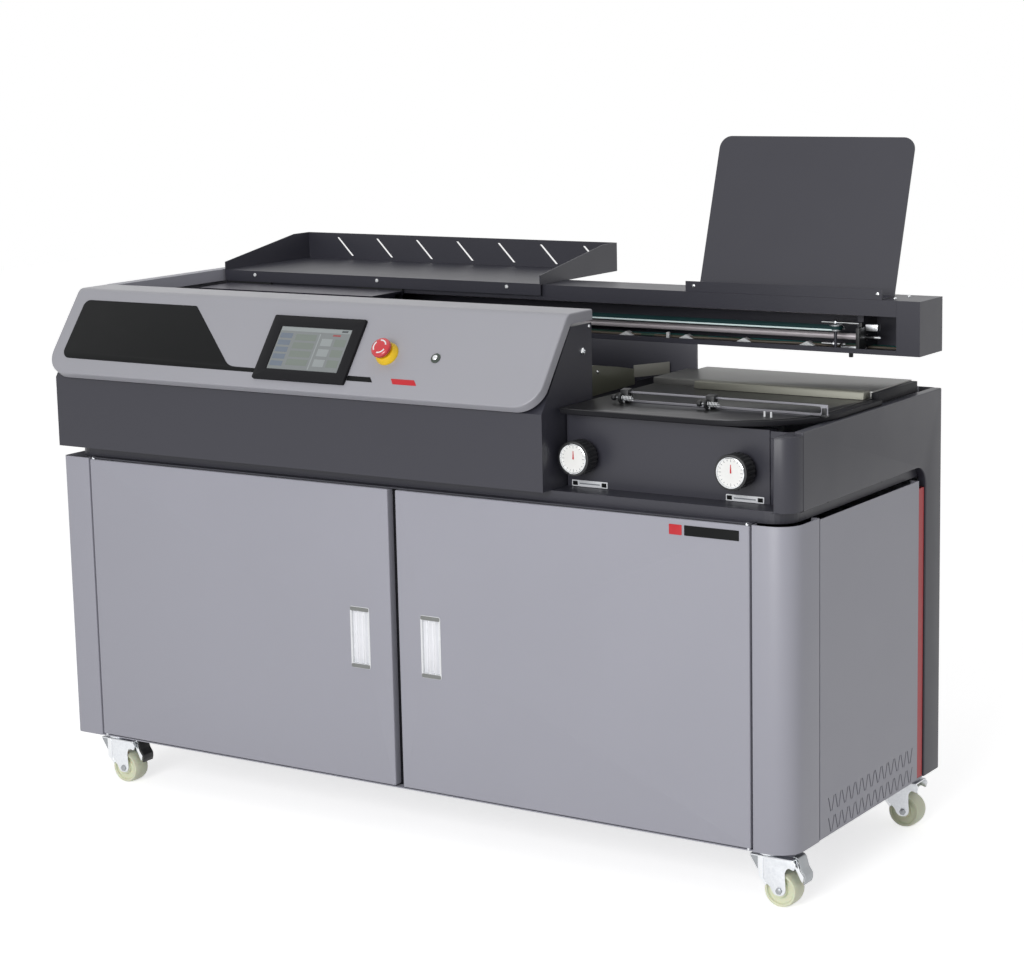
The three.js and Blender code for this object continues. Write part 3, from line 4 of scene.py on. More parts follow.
import bpy
import numpy as np
from bpy.props import FloatProperty, FloatVectorProperty, IntProperty, PointerProperty
from bpy.types import Operator, Panel, PropertyGroup
from mathutils import Matrix, Vector


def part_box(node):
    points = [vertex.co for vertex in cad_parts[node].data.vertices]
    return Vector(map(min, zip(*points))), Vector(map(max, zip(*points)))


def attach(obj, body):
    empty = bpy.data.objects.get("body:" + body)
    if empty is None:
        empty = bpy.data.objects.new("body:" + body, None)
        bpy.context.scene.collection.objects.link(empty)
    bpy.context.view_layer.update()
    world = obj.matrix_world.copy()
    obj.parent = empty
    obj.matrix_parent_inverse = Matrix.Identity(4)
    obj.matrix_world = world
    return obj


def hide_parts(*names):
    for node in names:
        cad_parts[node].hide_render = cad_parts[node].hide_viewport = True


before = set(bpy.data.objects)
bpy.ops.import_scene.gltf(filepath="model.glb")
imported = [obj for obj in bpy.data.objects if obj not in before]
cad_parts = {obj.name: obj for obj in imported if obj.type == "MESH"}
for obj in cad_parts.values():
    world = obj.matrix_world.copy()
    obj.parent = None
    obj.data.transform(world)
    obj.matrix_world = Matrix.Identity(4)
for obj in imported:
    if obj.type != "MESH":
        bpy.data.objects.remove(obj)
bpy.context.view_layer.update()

bl_info = {
    "name": "Hot glue binding machine",
    "version": (1, 0, 0),
    "blender": (4, 5, 0),
    "location": "View3D > Sidebar > Binder",
    "description": "Dresses the binding machine: painted sheet, console, dials, carriage, table, tray and casters",
    "category": "Add Mesh",
}

# Millimetres of the machine's own drawing, from the middle of the cabinet's front foot to metres of the frame
MM = 0.001
LEFT_SIDE = -820.0
RIGHT_SIDE = 820.0
DEPTH = 612.0
CABINET_BOTTOM = 105.0
CABINET_TOP = 680.0
BOX_BOTTOM = 702.0
BOX_TOP = 837.0
TOP = 1010.0
CONSOLE_RIGHT = 336.0
ORIGIN = np.array(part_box("left_end_panel")[0]) - np.array([LEFT_SIDE, 0.0, CABINET_BOTTOM]) * MM

SLOPE_RUN = 0.74
SLOPE_Y = SLOPE_RUN / math.hypot(1.0, SLOPE_RUN)
SLOPE_Z = 1.0 / math.hypot(1.0, SLOPE_RUN)
SLOPE_SETBACK = 82.0


# ---- Surfaces worked out as whole arrays ----

def rounded(corners, steps=8):
    """Closed outline through corners (u, v, radius): each corner becomes the arc that touches both its edges,
    its centre on the bisector at radius / sin(half angle) from the corner."""
    table = np.array([(*corner, 0.0)[:3] for corner in corners], float)
    points, radius = table[:, :2], table[:, 2]
    back = np.roll(points, 1, 0) - points
    ahead = np.roll(points, -1, 0) - points
    back /= np.linalg.norm(back, axis=1)[:, None]
    ahead /= np.linalg.norm(ahead, axis=1)[:, None]
    half = np.arccos(np.clip((back * ahead).sum(1), -1.0, 1.0)) / 2
    turn = np.sign(ahead[:, 0] * back[:, 1] - ahead[:, 1] * back[:, 0])
    bisector = back + ahead
    bisector /= np.maximum(np.linalg.norm(bisector, axis=1), 1e-9)[:, None]
    centre = points + bisector * (radius / np.maximum(np.sin(half), 1e-9))[:, None]
    start = points + back * (radius / np.maximum(np.tan(half), 1e-9))[:, None] - centre
    angle = np.arctan2(start[:, 1], start[:, 0])[:, None]
    angle = angle + (turn * (math.pi - 2 * half))[:, None] * np.linspace(0.0, 1.0, steps + 1)
    arcs = centre[:, None] + radius[:, None, None] * np.stack([np.cos(angle), np.sin(angle)], -1)
    keep = np.ones(arcs.shape[:2], bool)
    keep[radius <= 0, 1:] = False
    arcs[radius <= 0] = points[radius <= 0][:, None]
    return arcs[keep]


def rect(u, v, radius, steps):
    """Rounded rectangle between a pair of u and a pair of v."""
    return rounded([(u[0], v[0], radius), (u[1], v[0], radius), (u[1], v[1], radius), (u[0], v[1], radius)], steps)


def inset(outline, distance):
    """The outline moved to its left by a distance, along the mitre of the two edges at each point."""
    edge = np.roll(outline, -1, 0) - outline
    edge /= np.maximum(np.linalg.norm(edge, axis=1), 1e-9)[:, None]
    normal = np.stack([-edge[:, 1], edge[:, 0]], 1)
    before = np.roll(normal, 1, 0)
    return outline + (normal + before) * (distance / (1 + (normal * before).sum(1)))[:, None]


def folded(path, wall, bend=2.5, steps=6):
    """Outline of folded sheet: a path of corners (u, v, radius) with a bend at each, and the same path set to its
    left by the wall, run back to the start."""
    corners = [(*corner, bend)[:3] for corner in path]
    corners[0] = (*corners[0][:2], 0.0)
    corners[-1] = (*corners[-1][:2], 0.0)
    table = np.array(corners, float)
    edge = np.diff(table[:, :2], axis=0)
    edge /= np.linalg.norm(edge, axis=1)[:, None]
    normal = np.stack([-edge[:, 1], edge[:, 0]], 1)
    first = np.vstack([normal[:1], normal])
    second = np.vstack([normal, normal[-1:]])
    inner = table[:, :2] + (first + second) * (wall / (1 + (first * second).sum(1)))[:, None]
    turn = first[:, 0] * second[:, 1] - first[:, 1] * second[:, 0]
    radius = np.where(table[:, 2] > 0, np.maximum(table[:, 2] - np.sign(turn) * wall, 0.3), 0.0)
    inner = np.column_stack([inner, radius])
    ends = 0.35 * abs(wall)
    table[0, 2] = table[-1, 2] = inner[0, 2] = inner[-1, 2] = ends
    outline = rounded([*table.tolist(), *inner[::-1].tolist()], steps)
    return left_hand(outline)


def area(outline):
    """Signed area of a closed outline, half the sum of the cross products of neighbouring points."""
    ahead = np.roll(outline, -1, 0)
    return 0.5 * (outline[:, 0] * ahead[:, 1] - outline[:, 1] * ahead[:, 0]).sum()


def left_hand(outline):
    """The outline run with its inside on the left."""
    return outline if area(outline) > 0 else outline[::-1]


def edges(low, high, radius, steps=3, round_low=False):
    """Rings (inset, level) from low to high, with a quarter round of the radius at high, and at low if asked."""
    angle = np.linspace(0.0, math.pi / 2, steps + 1)
    curve = np.column_stack([radius * (1 - np.cos(angle)), high - radius + radius * np.sin(angle)])
    if not round_low:
        return np.vstack([[(0.0, low)], curve])
    foot = np.column_stack([radius * (1 - np.sin(angle)), low + radius - radius * np.cos(angle)])
    return np.vstack([foot, curve])


def grid(count, rings, around=True, closed=False):
    """Quads of a surface of two parameters: rings one way, points of a ring the other."""
    first = np.arange(rings if closed else rings - 1)
    second = np.arange(count if around else count - 1)
    a, b = np.meshgrid(first, second, indexing="ij")
    c, d = (a + 1) % rings, (b + 1) % count
    return np.stack([a * count + b, a * count + d, c * count + d, c * count + b], -1).reshape(-1, 4)


def skin(rings, caps=True, closed=False):
    """A surface through rings of the same number of points, its two ends capped or joined to each other."""
    rings = np.asarray(rings, float)
    layers, count = rings.shape[:2]
    faces = grid(count, layers, True, closed).tolist()
    if caps and not closed:
        faces.append(list(range(count))[::-1])
        faces.append(list(range((layers - 1) * count, layers * count)))
    return rings.reshape(-1, 3), faces


def across(axis, u, v, w):
    """Points of an outline (u, v) at level w along an axis: (y, z) along x, (x, z) along y, (x, y) along z."""
    u, v, w = np.broadcast_arrays(u, v, w)
    return np.stack({"x": (w, u, v), "y": (u, w, v), "z": (u, v, w)}[axis], -1)


def on_slope(u, down, out):
    """Points of the console's slope: x, the distance down from its top edge and the distance out of it."""
    u, down, out = np.broadcast_arrays(u, down, out)
    y = SLOPE_SETBACK - down * SLOPE_Y - out * SLOPE_Z
    return np.stack([u, y, TOP - down * SLOPE_Z + out * SLOPE_Y], -1)


def carried(outline, rings, place):
    """The outline carried through its rings: each ring sets it in and takes it to a level, and place puts it in
    space. The first and the last ring are capped."""
    outline = left_hand(outline)
    layers = [inset(outline, ring[0]) if ring[0] else outline for ring in rings]
    return skin([place(layer[:, 0], layer[:, 1], ring[1]) for layer, ring in zip(layers, rings)])


def bar_x(outline, low, high, radius=0.4):
    """The outline in (y, z) carried along x with both ends softened."""
    return carried(outline, edges(low, high, radius, 2, True), partial(across, "x"))


def bar_y(outline, low, high, radius=0.4):
    """The outline in (x, z) carried along y with both ends softened."""
    return carried(outline, edges(low, high, radius, 2, True), partial(across, "y"))


def bar_z(outline, low, high, radius=0.4):
    """The outline in (x, y) carried along z with both ends softened."""
    return carried(outline, edges(low, high, radius, 2, True), partial(across, "z"))


def box(x, y, z, radius=0.5):
    """A block with rounded upright edges and softened ends, between pairs of x, y and z."""
    outline = rect((x[0], x[1]), (y[0], y[1]), radius, 3)
    return bar_z(outline, z[0], z[1], radius)


def turned(profile, centre, axis, sides=48, ribs=0, rib_depth=0.0, rib_rows=(0, 0)):
    """A profile of (radius, level) turned round an axis through the centre. A row at radius zero closes to one
    point. Rows inside rib_rows have a radius that falls by the rib depth times a cosine of the angle."""
    profile = np.array(profile, float)
    angle = np.arange(sides) * 2 * math.pi / sides
    radius = np.repeat(profile[:, :1], sides, 1)
    if ribs:
        low, high = rib_rows
        wave = np.clip(0.5 + 0.9 * np.cos(ribs * angle), 0.0, 1.0)
        radius[low:high] -= rib_depth * (1 - wave)
    u, v = radius * np.cos(angle), radius * np.sin(angle)
    rows = across(axis, u, v, profile[:, 1:2]) + np.array(centre, float)
    top, bottom = profile[0, 0] <= 0, profile[-1, 0] <= 0
    if not top and not bottom:
        return skin(rows, caps=False, closed=True)
    start, stop = (1 if top else 0), (len(profile) - 1 if bottom else len(profile))
    points, faces = skin(rows[start:stop], caps=False)
    ring = np.arange(sides)
    ahead = (ring + 1) % sides
    last = (stop - start - 1) * sides
    points = np.vstack([points, rows[0, :1], rows[-1, :1]])
    size = len(points)
    for closes, base, pole, flip in ((top, 0, size - 2, True), (bottom, last, size - 1, False)):
        if closes:
            fan = np.stack([base + ring, base + ahead, np.full(sides, pole)], 1)
            faces += (fan[:, ::-1] if flip else fan).tolist()
        else:
            loop = (base + ring).tolist()
            faces.append(loop[::-1] if flip else loop)
    return points, faces


def rod(radius, low, high, centre, axis, sides):
    """A plain rod along an axis through the centre, from low to high."""
    return turned([(0, low), (radius, low), (radius, high), (0, high)], centre, axis, sides)


def tube(points, radius, sides=10):
    """A round section carried along a path: at each point two unit vectors square to the tangent turn the circle."""
    points = np.asarray(points, float)
    tangent = np.gradient(points, axis=0)
    tangent /= np.linalg.norm(tangent, axis=1)[:, None]
    spread = np.abs(tangent).mean(0)
    guide = np.eye(3)[int(np.argmin(spread))]
    side = np.cross(tangent, guide)
    side /= np.linalg.norm(side, axis=1)[:, None]
    up = np.cross(side, tangent)
    angle = np.arange(sides) * 2 * math.pi / sides
    radius = np.broadcast_to(radius, len(points))[:, None, None]
    ring = side[:, None] * np.cos(angle)[:, None] + up[:, None] * np.sin(angle)[:, None]
    return skin(points[:, None] + ring * radius)


def reach(outline, centre, angle, distance=0.0):
    """How far a convex outline, set in by a distance, lies from the centre at each angle: one over the largest of
    each edge's outward cosine divided by its distance."""
    outline = left_hand(outline)
    edge = np.roll(outline, -1, 0) - outline
    length = np.linalg.norm(edge, axis=1)
    edge, start = edge[length > 1e-6], outline[length > 1e-6]
    edge /= np.linalg.norm(edge, axis=1)[:, None]
    outward = np.stack([edge[:, 1], -edge[:, 0]], 1)
    away = ((start - centre) * outward).sum(1) - distance
    ray = np.stack([np.cos(angle), np.sin(angle)], 1)
    return 1.0 / (ray @ outward.T / away).max(1)


def frame_of(outer, hole, rings, place, centre=None):
    """A closed frame between an outer outline and a hole: rings of (share of outer, inset, level), where share 1
    lies on the outer outline and 0 on the hole, sampled at every angle at which either has a corner."""
    centre = hole.mean(0) if centre is None else np.array(centre, float)
    both = np.vstack([outer, hole]) - centre
    angle = np.unique(np.round(np.arctan2(both[:, 1], both[:, 0]), 5))
    ray = np.stack([np.cos(angle), np.sin(angle)], 1)
    layers = []
    for share, distance, level in rings:
        length = reach(outer if share else hole, centre, angle, distance)
        flat = centre + ray * length[:, None]
        layers.append(place(flat[:, 0], flat[:, 1], level))
    return skin(layers, caps=False, closed=True)


def outward(points, faces):
    """Faces turned to point out of a closed shape, by the sign of the volume of the tetrahedra on its origin."""
    middle = points.mean(0)
    spans = [(f[0], f[i], f[i + 1]) for f in faces for i in range(1, len(f) - 1)]
    a, b, c = (points[np.array(spans)[:, i]] - middle for i in range(3))
    if (a * np.cross(b, c)).sum() < 0:
        return [f[::-1] for f in faces]
    return faces


def piece(name, parts, body, replaces=(), smooth=32.0):
    """One mesh from parts of (points, faces) and the finish of each, placed in metres, riding on a body."""
    finishes = []
    points, faces, index = [], [], []
    base = 0
    for shape, finish in parts:
        if finish not in finishes:
            finishes.append(finish)
        shape_points, shape_faces = shape
        turned_out = outward(shape_points, shape_faces)
        points.append(shape_points)
        faces += [[base + i for i in face] for face in turned_out]
        index += [finishes.index(finish)] * len(turned_out)
        base += len(shape_points)
    mesh = bpy.data.meshes.new(name)
    mesh.from_pydata((np.vstack(points) * MM + ORIGIN).tolist(), [], faces)
    for finish in finishes:
        mesh.materials.append(FINISHES[finish]())
    mesh.polygons.foreach_set("material_index", index)
    mesh.polygons.foreach_set("use_smooth", [True] * len(faces))
    mesh.update()
    mesh.set_sharp_from_angle(angle=math.radians(smooth))
    made = bpy.data.objects.new(name, mesh)
    bpy.context.scene.collection.objects.link(made)
    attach(made, body)
    if replaces:
        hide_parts(*replaces)
    return made


# ---- Finishes ----

FINISHES = {}
_made = {}


def finish(name):
    """Registers a finish and makes its material once, when a piece first asks for it."""
    def keep(build):
        def get():
            if name not in _made:
                material = bpy.data.materials.new(name)
                material.use_nodes = True
                _made[name] = material
                build(material)
            return _made[name]
        FINISHES[name] = get
        return get
    return keep


def shader(material):
    """The principled shader of a new material."""
    return material.node_tree.nodes["Principled BSDF"]


def noise(material, scale, detail=2.0, stretch=(1.0, 1.0, 1.0)):
    """Noise on the piece's own place in space, in features per metre, stretched along the axes."""
    tree = material.node_tree
    place = tree.nodes.new("ShaderNodeTexCoord")
    mapping = tree.nodes.new("ShaderNodeMapping")
    mapping.inputs["Scale"].default_value = stretch
    texture = tree.nodes.new("ShaderNodeTexNoise")
    texture.inputs["Scale"].default_value = scale
    texture.inputs["Detail"].default_value = detail
    tree.links.new(place.outputs["Object"], mapping.inputs["Vector"])
    tree.links.new(mapping.outputs["Vector"], texture.inputs["Vector"])
    return texture.outputs["Fac"]


def between(material, factor, low, high):
    """A colour between two colours by a factor."""
    tree = material.node_tree
    mix = tree.nodes.new("ShaderNodeMix")
    mix.data_type = "RGBA"
    mix.inputs["A"].default_value = (*low, 1.0)
    mix.inputs["B"].default_value = (*high, 1.0)
    tree.links.new(factor, mix.inputs["Factor"])
    return mix.outputs["Result"]


def ranged(material, factor, low, high):
    """A number between two numbers by a factor."""
    tree = material.node_tree
    spread = tree.nodes.new("ShaderNodeMapRange")
    spread.inputs["To Min"].default_value = low
    spread.inputs["To Max"].default_value = high
    tree.links.new(factor, spread.inputs["Value"])
    return spread.outputs["Result"]


def bump(material, factor, strength, distance):
    """Fine relief from a factor, its depth in metres."""
    tree = material.node_tree
    node = tree.nodes.new("ShaderNodeBump")
    node.inputs["Strength"].default_value = strength
    node.inputs["Distance"].default_value = distance
    tree.links.new(factor, node.inputs["Height"])
    tree.links.new(node.outputs["Normal"], shader(material).inputs["Normal"])


def linear(red, green, blue):
    """Linear colour of an sRGB colour in 0 to 255."""
    c = np.array([red, green, blue]) / 255
    return tuple(np.where(c <= 0.04045, c / 12.92, ((c + 0.055) / 1.055) ** 2.4))


def shaded(colour, share):
    """A colour times a share."""
    return tuple(min(1.0, c * share) for c in colour)


def coat(material, colour, roughness, grain=900.0, metal=0.0):
    """Powder coat: cloudy tone over the sheet, orange peel of about a millimetre, roughness that wanders."""
    tree, bsdf = material.node_tree, shader(material)
    cloud = noise(material, 3.5, 3.0)
    tree.links.new(between(material, cloud, shaded(colour, 0.965), shaded(colour, 1.035)), bsdf.inputs["Base Color"])
    tree.links.new(ranged(material, noise(material, 14.0, 2.0), roughness - 0.04, roughness + 0.05),
                   bsdf.inputs["Roughness"])
    bsdf.inputs["Metallic"].default_value = metal
    bump(material, noise(material, grain, 1.0), 0.12, 0.00012)


def ground(material, colour, roughness, stretch, metal=1.0):
    """Ground or drawn metal: fine lines along one axis in tone, roughness and relief."""
    tree, bsdf = material.node_tree, shader(material)
    line = noise(material, 500.0, 3.0, stretch)
    tree.links.new(between(material, line, shaded(colour, 0.9), shaded(colour, 1.07)), bsdf.inputs["Base Color"])
    tree.links.new(ranged(material, line, roughness - 0.03, roughness + 0.05), bsdf.inputs["Roughness"])
    bsdf.inputs["Metallic"].default_value = metal
    bump(material, line, 0.06, 0.00004)


def moulded(material, colour, roughness, grain=1400.0, coating=0.0, specular=None):
    """Moulded plastic: even colour with a slight drift and a fine spark-eroded texture."""
    tree, bsdf = material.node_tree, shader(material)
    drift = noise(material, 25.0, 2.0)
    tree.links.new(between(material, drift, shaded(colour, 0.94), shaded(colour, 1.05)), bsdf.inputs["Base Color"])
    tree.links.new(ranged(material, drift, roughness - 0.03, roughness + 0.05), bsdf.inputs["Roughness"])
    if coating:
        bsdf.inputs["Coat Weight"].default_value = coating
        bsdf.inputs["Coat Roughness"].default_value = 0.08
    if specular is not None:
        bsdf.inputs["Specular IOR Level"].default_value = specular
    bump(material, noise(material, grain, 1.0), 0.1, 0.00008)


def seen_directly(tree, path):
    """One for rays from the camera, from a mirror-like surface or through glass, else zero."""
    first, second = (tree.nodes.new("ShaderNodeMath") for _ in range(2))
    first.operation = second.operation = "MAXIMUM"
    tree.links.new(path.outputs["Is Camera Ray"], first.inputs[0])
    tree.links.new(path.outputs["Is Glossy Ray"], first.inputs[1])
    tree.links.new(first.outputs[0], second.inputs[0])
    tree.links.new(path.outputs["Is Transmission Ray"], second.inputs[1])
    return second.outputs[0]


LIGHT_GREY = linear(157, 157, 167)
DARK_GREY = linear(49, 49, 58)


# Powder coats: the colour property of each and its roughness
PAINTS = {
    "light_grey_paint": ("light_paint", 0.42),
    "dark_grey_paint": ("dark_paint", 0.4),
    "fascia_paint": ("fascia_paint", 0.36),
    "red_paint": ("accent", 0.4),
}

# Other coats: sRGB colour, roughness and, where it isn't the usual one, the grain
COATS = {
    # inner_dark is a darker copy of the dark grey paint: painted shade on the neck's inner wall
    "inner_dark": ((40, 40, 46), 0.55),
    # The hood is olive-grey steel drawn as coat. Its tone is raised by painted reflection of the bright surroundings.
    # The wing's lighter copy is a painted highlight.
    "hood_paint": ((104, 105, 92), 0.42),
    "hood_light": ((134, 133, 126), 0.42),
    "enamelled_iron": ((44, 46, 50), 0.5, 420.0),
}

# Plastics, films and rubber: sRGB colour, roughness, grain, clear coat and specular level
MOULDED = {
    "black_plastic": ((30, 31, 33), 0.45),
    "plate_black": ((19, 20, 21), 0.5, 600.0, 0.0, 0.12),
    "bezel_black": ((22, 22, 25), 0.5, 1200.0, 0.0, 0.15),
    "red_plastic": ((196, 28, 40), 0.22, 400.0, 0.6),
    "red_film": ((190, 24, 36), 0.35, 600.0),
    "yellow_plastic": ((238, 196, 30), 0.35),
    "white_plastic": ((226, 228, 230), 0.25, 700.0, 0.3),
    "pull_well": ((233, 234, 238), 0.22, 700.0, 0.3),
    "pull_cap": ((124, 126, 124), 0.35, 700.0),
    "label_white": ((222, 224, 228), 0.4, 500.0),
    "dial_white": ((236, 236, 234), 0.3, 300.0, 0.2),
    "mark_grey": ((120, 124, 130), 0.4, 600.0),
    # edge_black is painted shadow: a near-black that paints shade into the door gap and under and beside the table
    # plates
    "edge_black": ((24, 24, 28), 0.5, 900.0, 0.0, 0.15),
    "display_glass": ((142, 148, 149), 0.14, 200.0, 0.4),
    "display_grey": ((121, 126, 127), 0.14, 200.0, 0.4),
    "display_dark": ((67, 72, 76), 0.14, 200.0, 0.4),
    "display_green": ((113, 122, 115), 0.14, 200.0, 0.4),
    "display_blue": ((101, 112, 126), 0.14, 200.0, 0.4),
    "ring_green": ((60, 70, 62), 0.3, 500.0),
    # cable_cyan is a painted highlight: the bright line along the belt's lower edge
    "cable_cyan": ((222, 240, 240), 0.35, 500.0),
    "cable_white": ((214, 216, 218), 0.4, 500.0),
    "display_red": ((144, 67, 68), 0.14, 200.0, 0.4),
    "belt_rubber": ((16, 48, 50), 0.5, 500.0, 0.0, 0.2),
    "cable_teal": ((30, 84, 84), 0.4, 500.0),
    "cable_green": ((48, 74, 60), 0.45, 500.0),
    "cable_brown": ((92, 84, 74), 0.45, 500.0),
}

# Bare metals: sRGB colour, roughness, stretch of the lines and share of metal
METALS = {
    "ground_steel": ((176, 178, 180), 0.26, (0.04, 1.0, 1.0)),
    "turned_steel": ((204, 206, 208), 0.22, (1.0, 1.0, 0.1)),
    "table_steel": ((130, 130, 128), 0.4, (0.03, 1.0, 1.0)),
    # front_steel is a darker copy of the table steel: painted dark reflection on the front plate
    "front_steel": ((72, 72, 74), 0.3, (0.03, 1.0, 1.0)),
    "dark_steel": ((74, 72, 84), 0.34, (0.05, 1.0, 1.0)),
    "nip_steel": ((116, 116, 108), 0.5, (0.05, 1.0, 1.0)),
    "bar_steel": ((150, 150, 156), 0.32, (0.05, 1.0, 1.0)),
    "cast_aluminium": ((160, 163, 166), 0.42, (0.5, 1.0, 1.0)),
    # rod_steel is near-white and only partly metal: a painted highlight on the guide rods
    "rod_steel": ((232, 224, 228), 0.4, (0.05, 1.0, 1.0), 0.4),
    "chrome": ((226, 228, 230), 0.1, (1.0, 1.0, 1.0)),
}


def paint(material, colour, roughness):
    """Powder coat in a colour that the user can change."""
    coat(material, tuple(getattr(bpy.context.scene.binder_colours, colour)), roughness)


def by_table(build):
    """The same kind of finish from a row whose first value is an sRGB colour."""
    return lambda material, colour, *values: build(material, linear(*colour), *values)


for _table, _build in ((PAINTS, paint), (COATS, by_table(coat)), (MOULDED, by_table(moulded)),
                       (METALS, by_table(ground))):
    for _name, _row in _table.items():
        finish(_name)(lambda material, build=_build, row=_row: build(material, *row))


@finish("zinc_steel")
def _(m):
    tree, bsdf = m.node_tree, shader(m)
    patch = noise(m, 260.0, 2.0)
    tree.links.new(between(m, patch, linear(206, 209, 214), linear(234, 236, 238)), bsdf.inputs["Base Color"])
    tree.links.new(ranged(m, patch, 0.24, 0.42), bsdf.inputs["Roughness"])
    bsdf.inputs["Metallic"].default_value = 1.0
    bump(m, patch, 0.08, 0.0001)


@finish("cream_nylon")
def _(m):
    moulded(m, linear(222, 225, 198), 0.4, 700.0)
    shader(m).inputs["Subsurface Weight"].default_value = 0.1
    shader(m).inputs["Subsurface Scale"].default_value = 0.004


@finish("stage_white")
def _(m):
    tree, bsdf = m.node_tree, shader(m)
    speck = noise(m, 2.0, 1.0)
    tree.links.new(between(m, speck, (0.78, 0.78, 0.78), (0.82, 0.82, 0.82)), bsdf.inputs["Base Color"])
    bsdf.inputs["Roughness"].default_value = 0.9
    bsdf.inputs["Specular IOR Level"].default_value = 0.1
    path = tree.nodes.new("ShaderNodeLightPath")
    glow = tree.nodes.new("ShaderNodeEmission")
    scale = tree.nodes.new("ShaderNodeMath")
    scale.operation = "MULTIPLY"
    scale.inputs[1].default_value = 0.66
    add = tree.nodes.new("ShaderNodeAddShader")
    tree.links.new(seen_directly(tree, path), scale.inputs[0])
    tree.links.new(scale.outputs[0], glow.inputs["Strength"])
    tree.links.new(bsdf.outputs["BSDF"], add.inputs[0])
    tree.links.new(glow.outputs["Emission"], add.inputs[1])
    tree.links.new(add.outputs["Shader"], tree.nodes["Material Output"].inputs["Surface"])


# ---- Sizes and colours a user would change ----

class BinderSizes(PropertyGroup):
    """Lengths of the dressed pieces."""
    screw: FloatProperty(name="Screw head", description="Radius of the screw heads", default=0.0042, unit="LENGTH")
    cable: FloatProperty(name="Cable", description="Radius of the cables in the beam", default=0.0024, unit="LENGTH")
    dial_marks: IntProperty(name="Dial marks", description="Marks round a dial", default=20, min=4, max=60)


class BinderColours(PropertyGroup):
    """Colours of the painted sheet, linear."""
    light_paint: FloatVectorProperty(name="Light paint", description="Doors, posts and side panel",
                                     subtype="COLOR", default=LIGHT_GREY, min=0.0, max=1.0)
    dark_paint: FloatVectorProperty(name="Dark paint", description="Console body, box, beam, tray and stand",
                                    subtype="COLOR", default=DARK_GREY, min=0.0, max=1.0)
    fascia_paint: FloatVectorProperty(name="Fascia paint", description="Sloping fascia of the console",
                                      subtype="COLOR", default=linear(157, 157, 164), min=0.0, max=1.0)
    accent: FloatVectorProperty(name="Accent", description="Red strip on the side",
                                subtype="COLOR", default=linear(181, 30, 40), min=0.0, max=1.0)


# ---- Cabinet ----

def bent(corner, before, after, radius, wall, steps=6):
    """Outer and inner points of a bend in sheet: a quarter turn about corner - before * r + after * r, where the
    path runs along before into the corner and along after out of it, and the wall lies inside the turn."""
    corner, before, after = (np.array(v, float) for v in (corner, before, after))
    angle = np.linspace(0.0, math.pi / 2, steps + 1)[:, None]
    centre = corner + (after - before) * radius
    ray = before * np.sin(angle) - after * np.cos(angle)
    return centre + ray * radius, centre + ray * (radius - wall)


def vented(outer, inner, levels, open_cells):
    """Closed sheet with slots: outer and inner paths (level, place, xy) at each level, every cell of four points a
    face but the open ones, which get walls from the outer to the inner points, as do the sheet's four edges."""
    rows, count = outer.shape[:2]
    height = np.broadcast_to(np.asarray(levels, float)[:, None, None], (rows, count, 1))
    points = np.concatenate([np.concatenate([side, height], 2).reshape(-1, 3) for side in (outer, inner)])
    far = rows * count
    cells = grid(count, rows, False).reshape(rows - 1, count - 1, 4)
    solid, holes = cells[~open_cells], cells[open_cells]
    ahead = np.roll(holes, -1, 1)
    walls = np.stack([holes, ahead, ahead + far, holes + far], -1).reshape(-1, 4)
    index = np.arange(far).reshape(rows, count)

    def edge(one, two):
        return np.stack([one, two, two + far, one + far], 1)

    rims = [edge(index[0, 1:], index[0, :-1]), edge(index[-1, :-1], index[-1, 1:]),
            edge(index[:-1, 0], index[1:, 0]), edge(index[1:, -1], index[:-1, -1])]
    return points, np.concatenate([solid, solid[:, ::-1] + far, walls, *rims]).tolist()


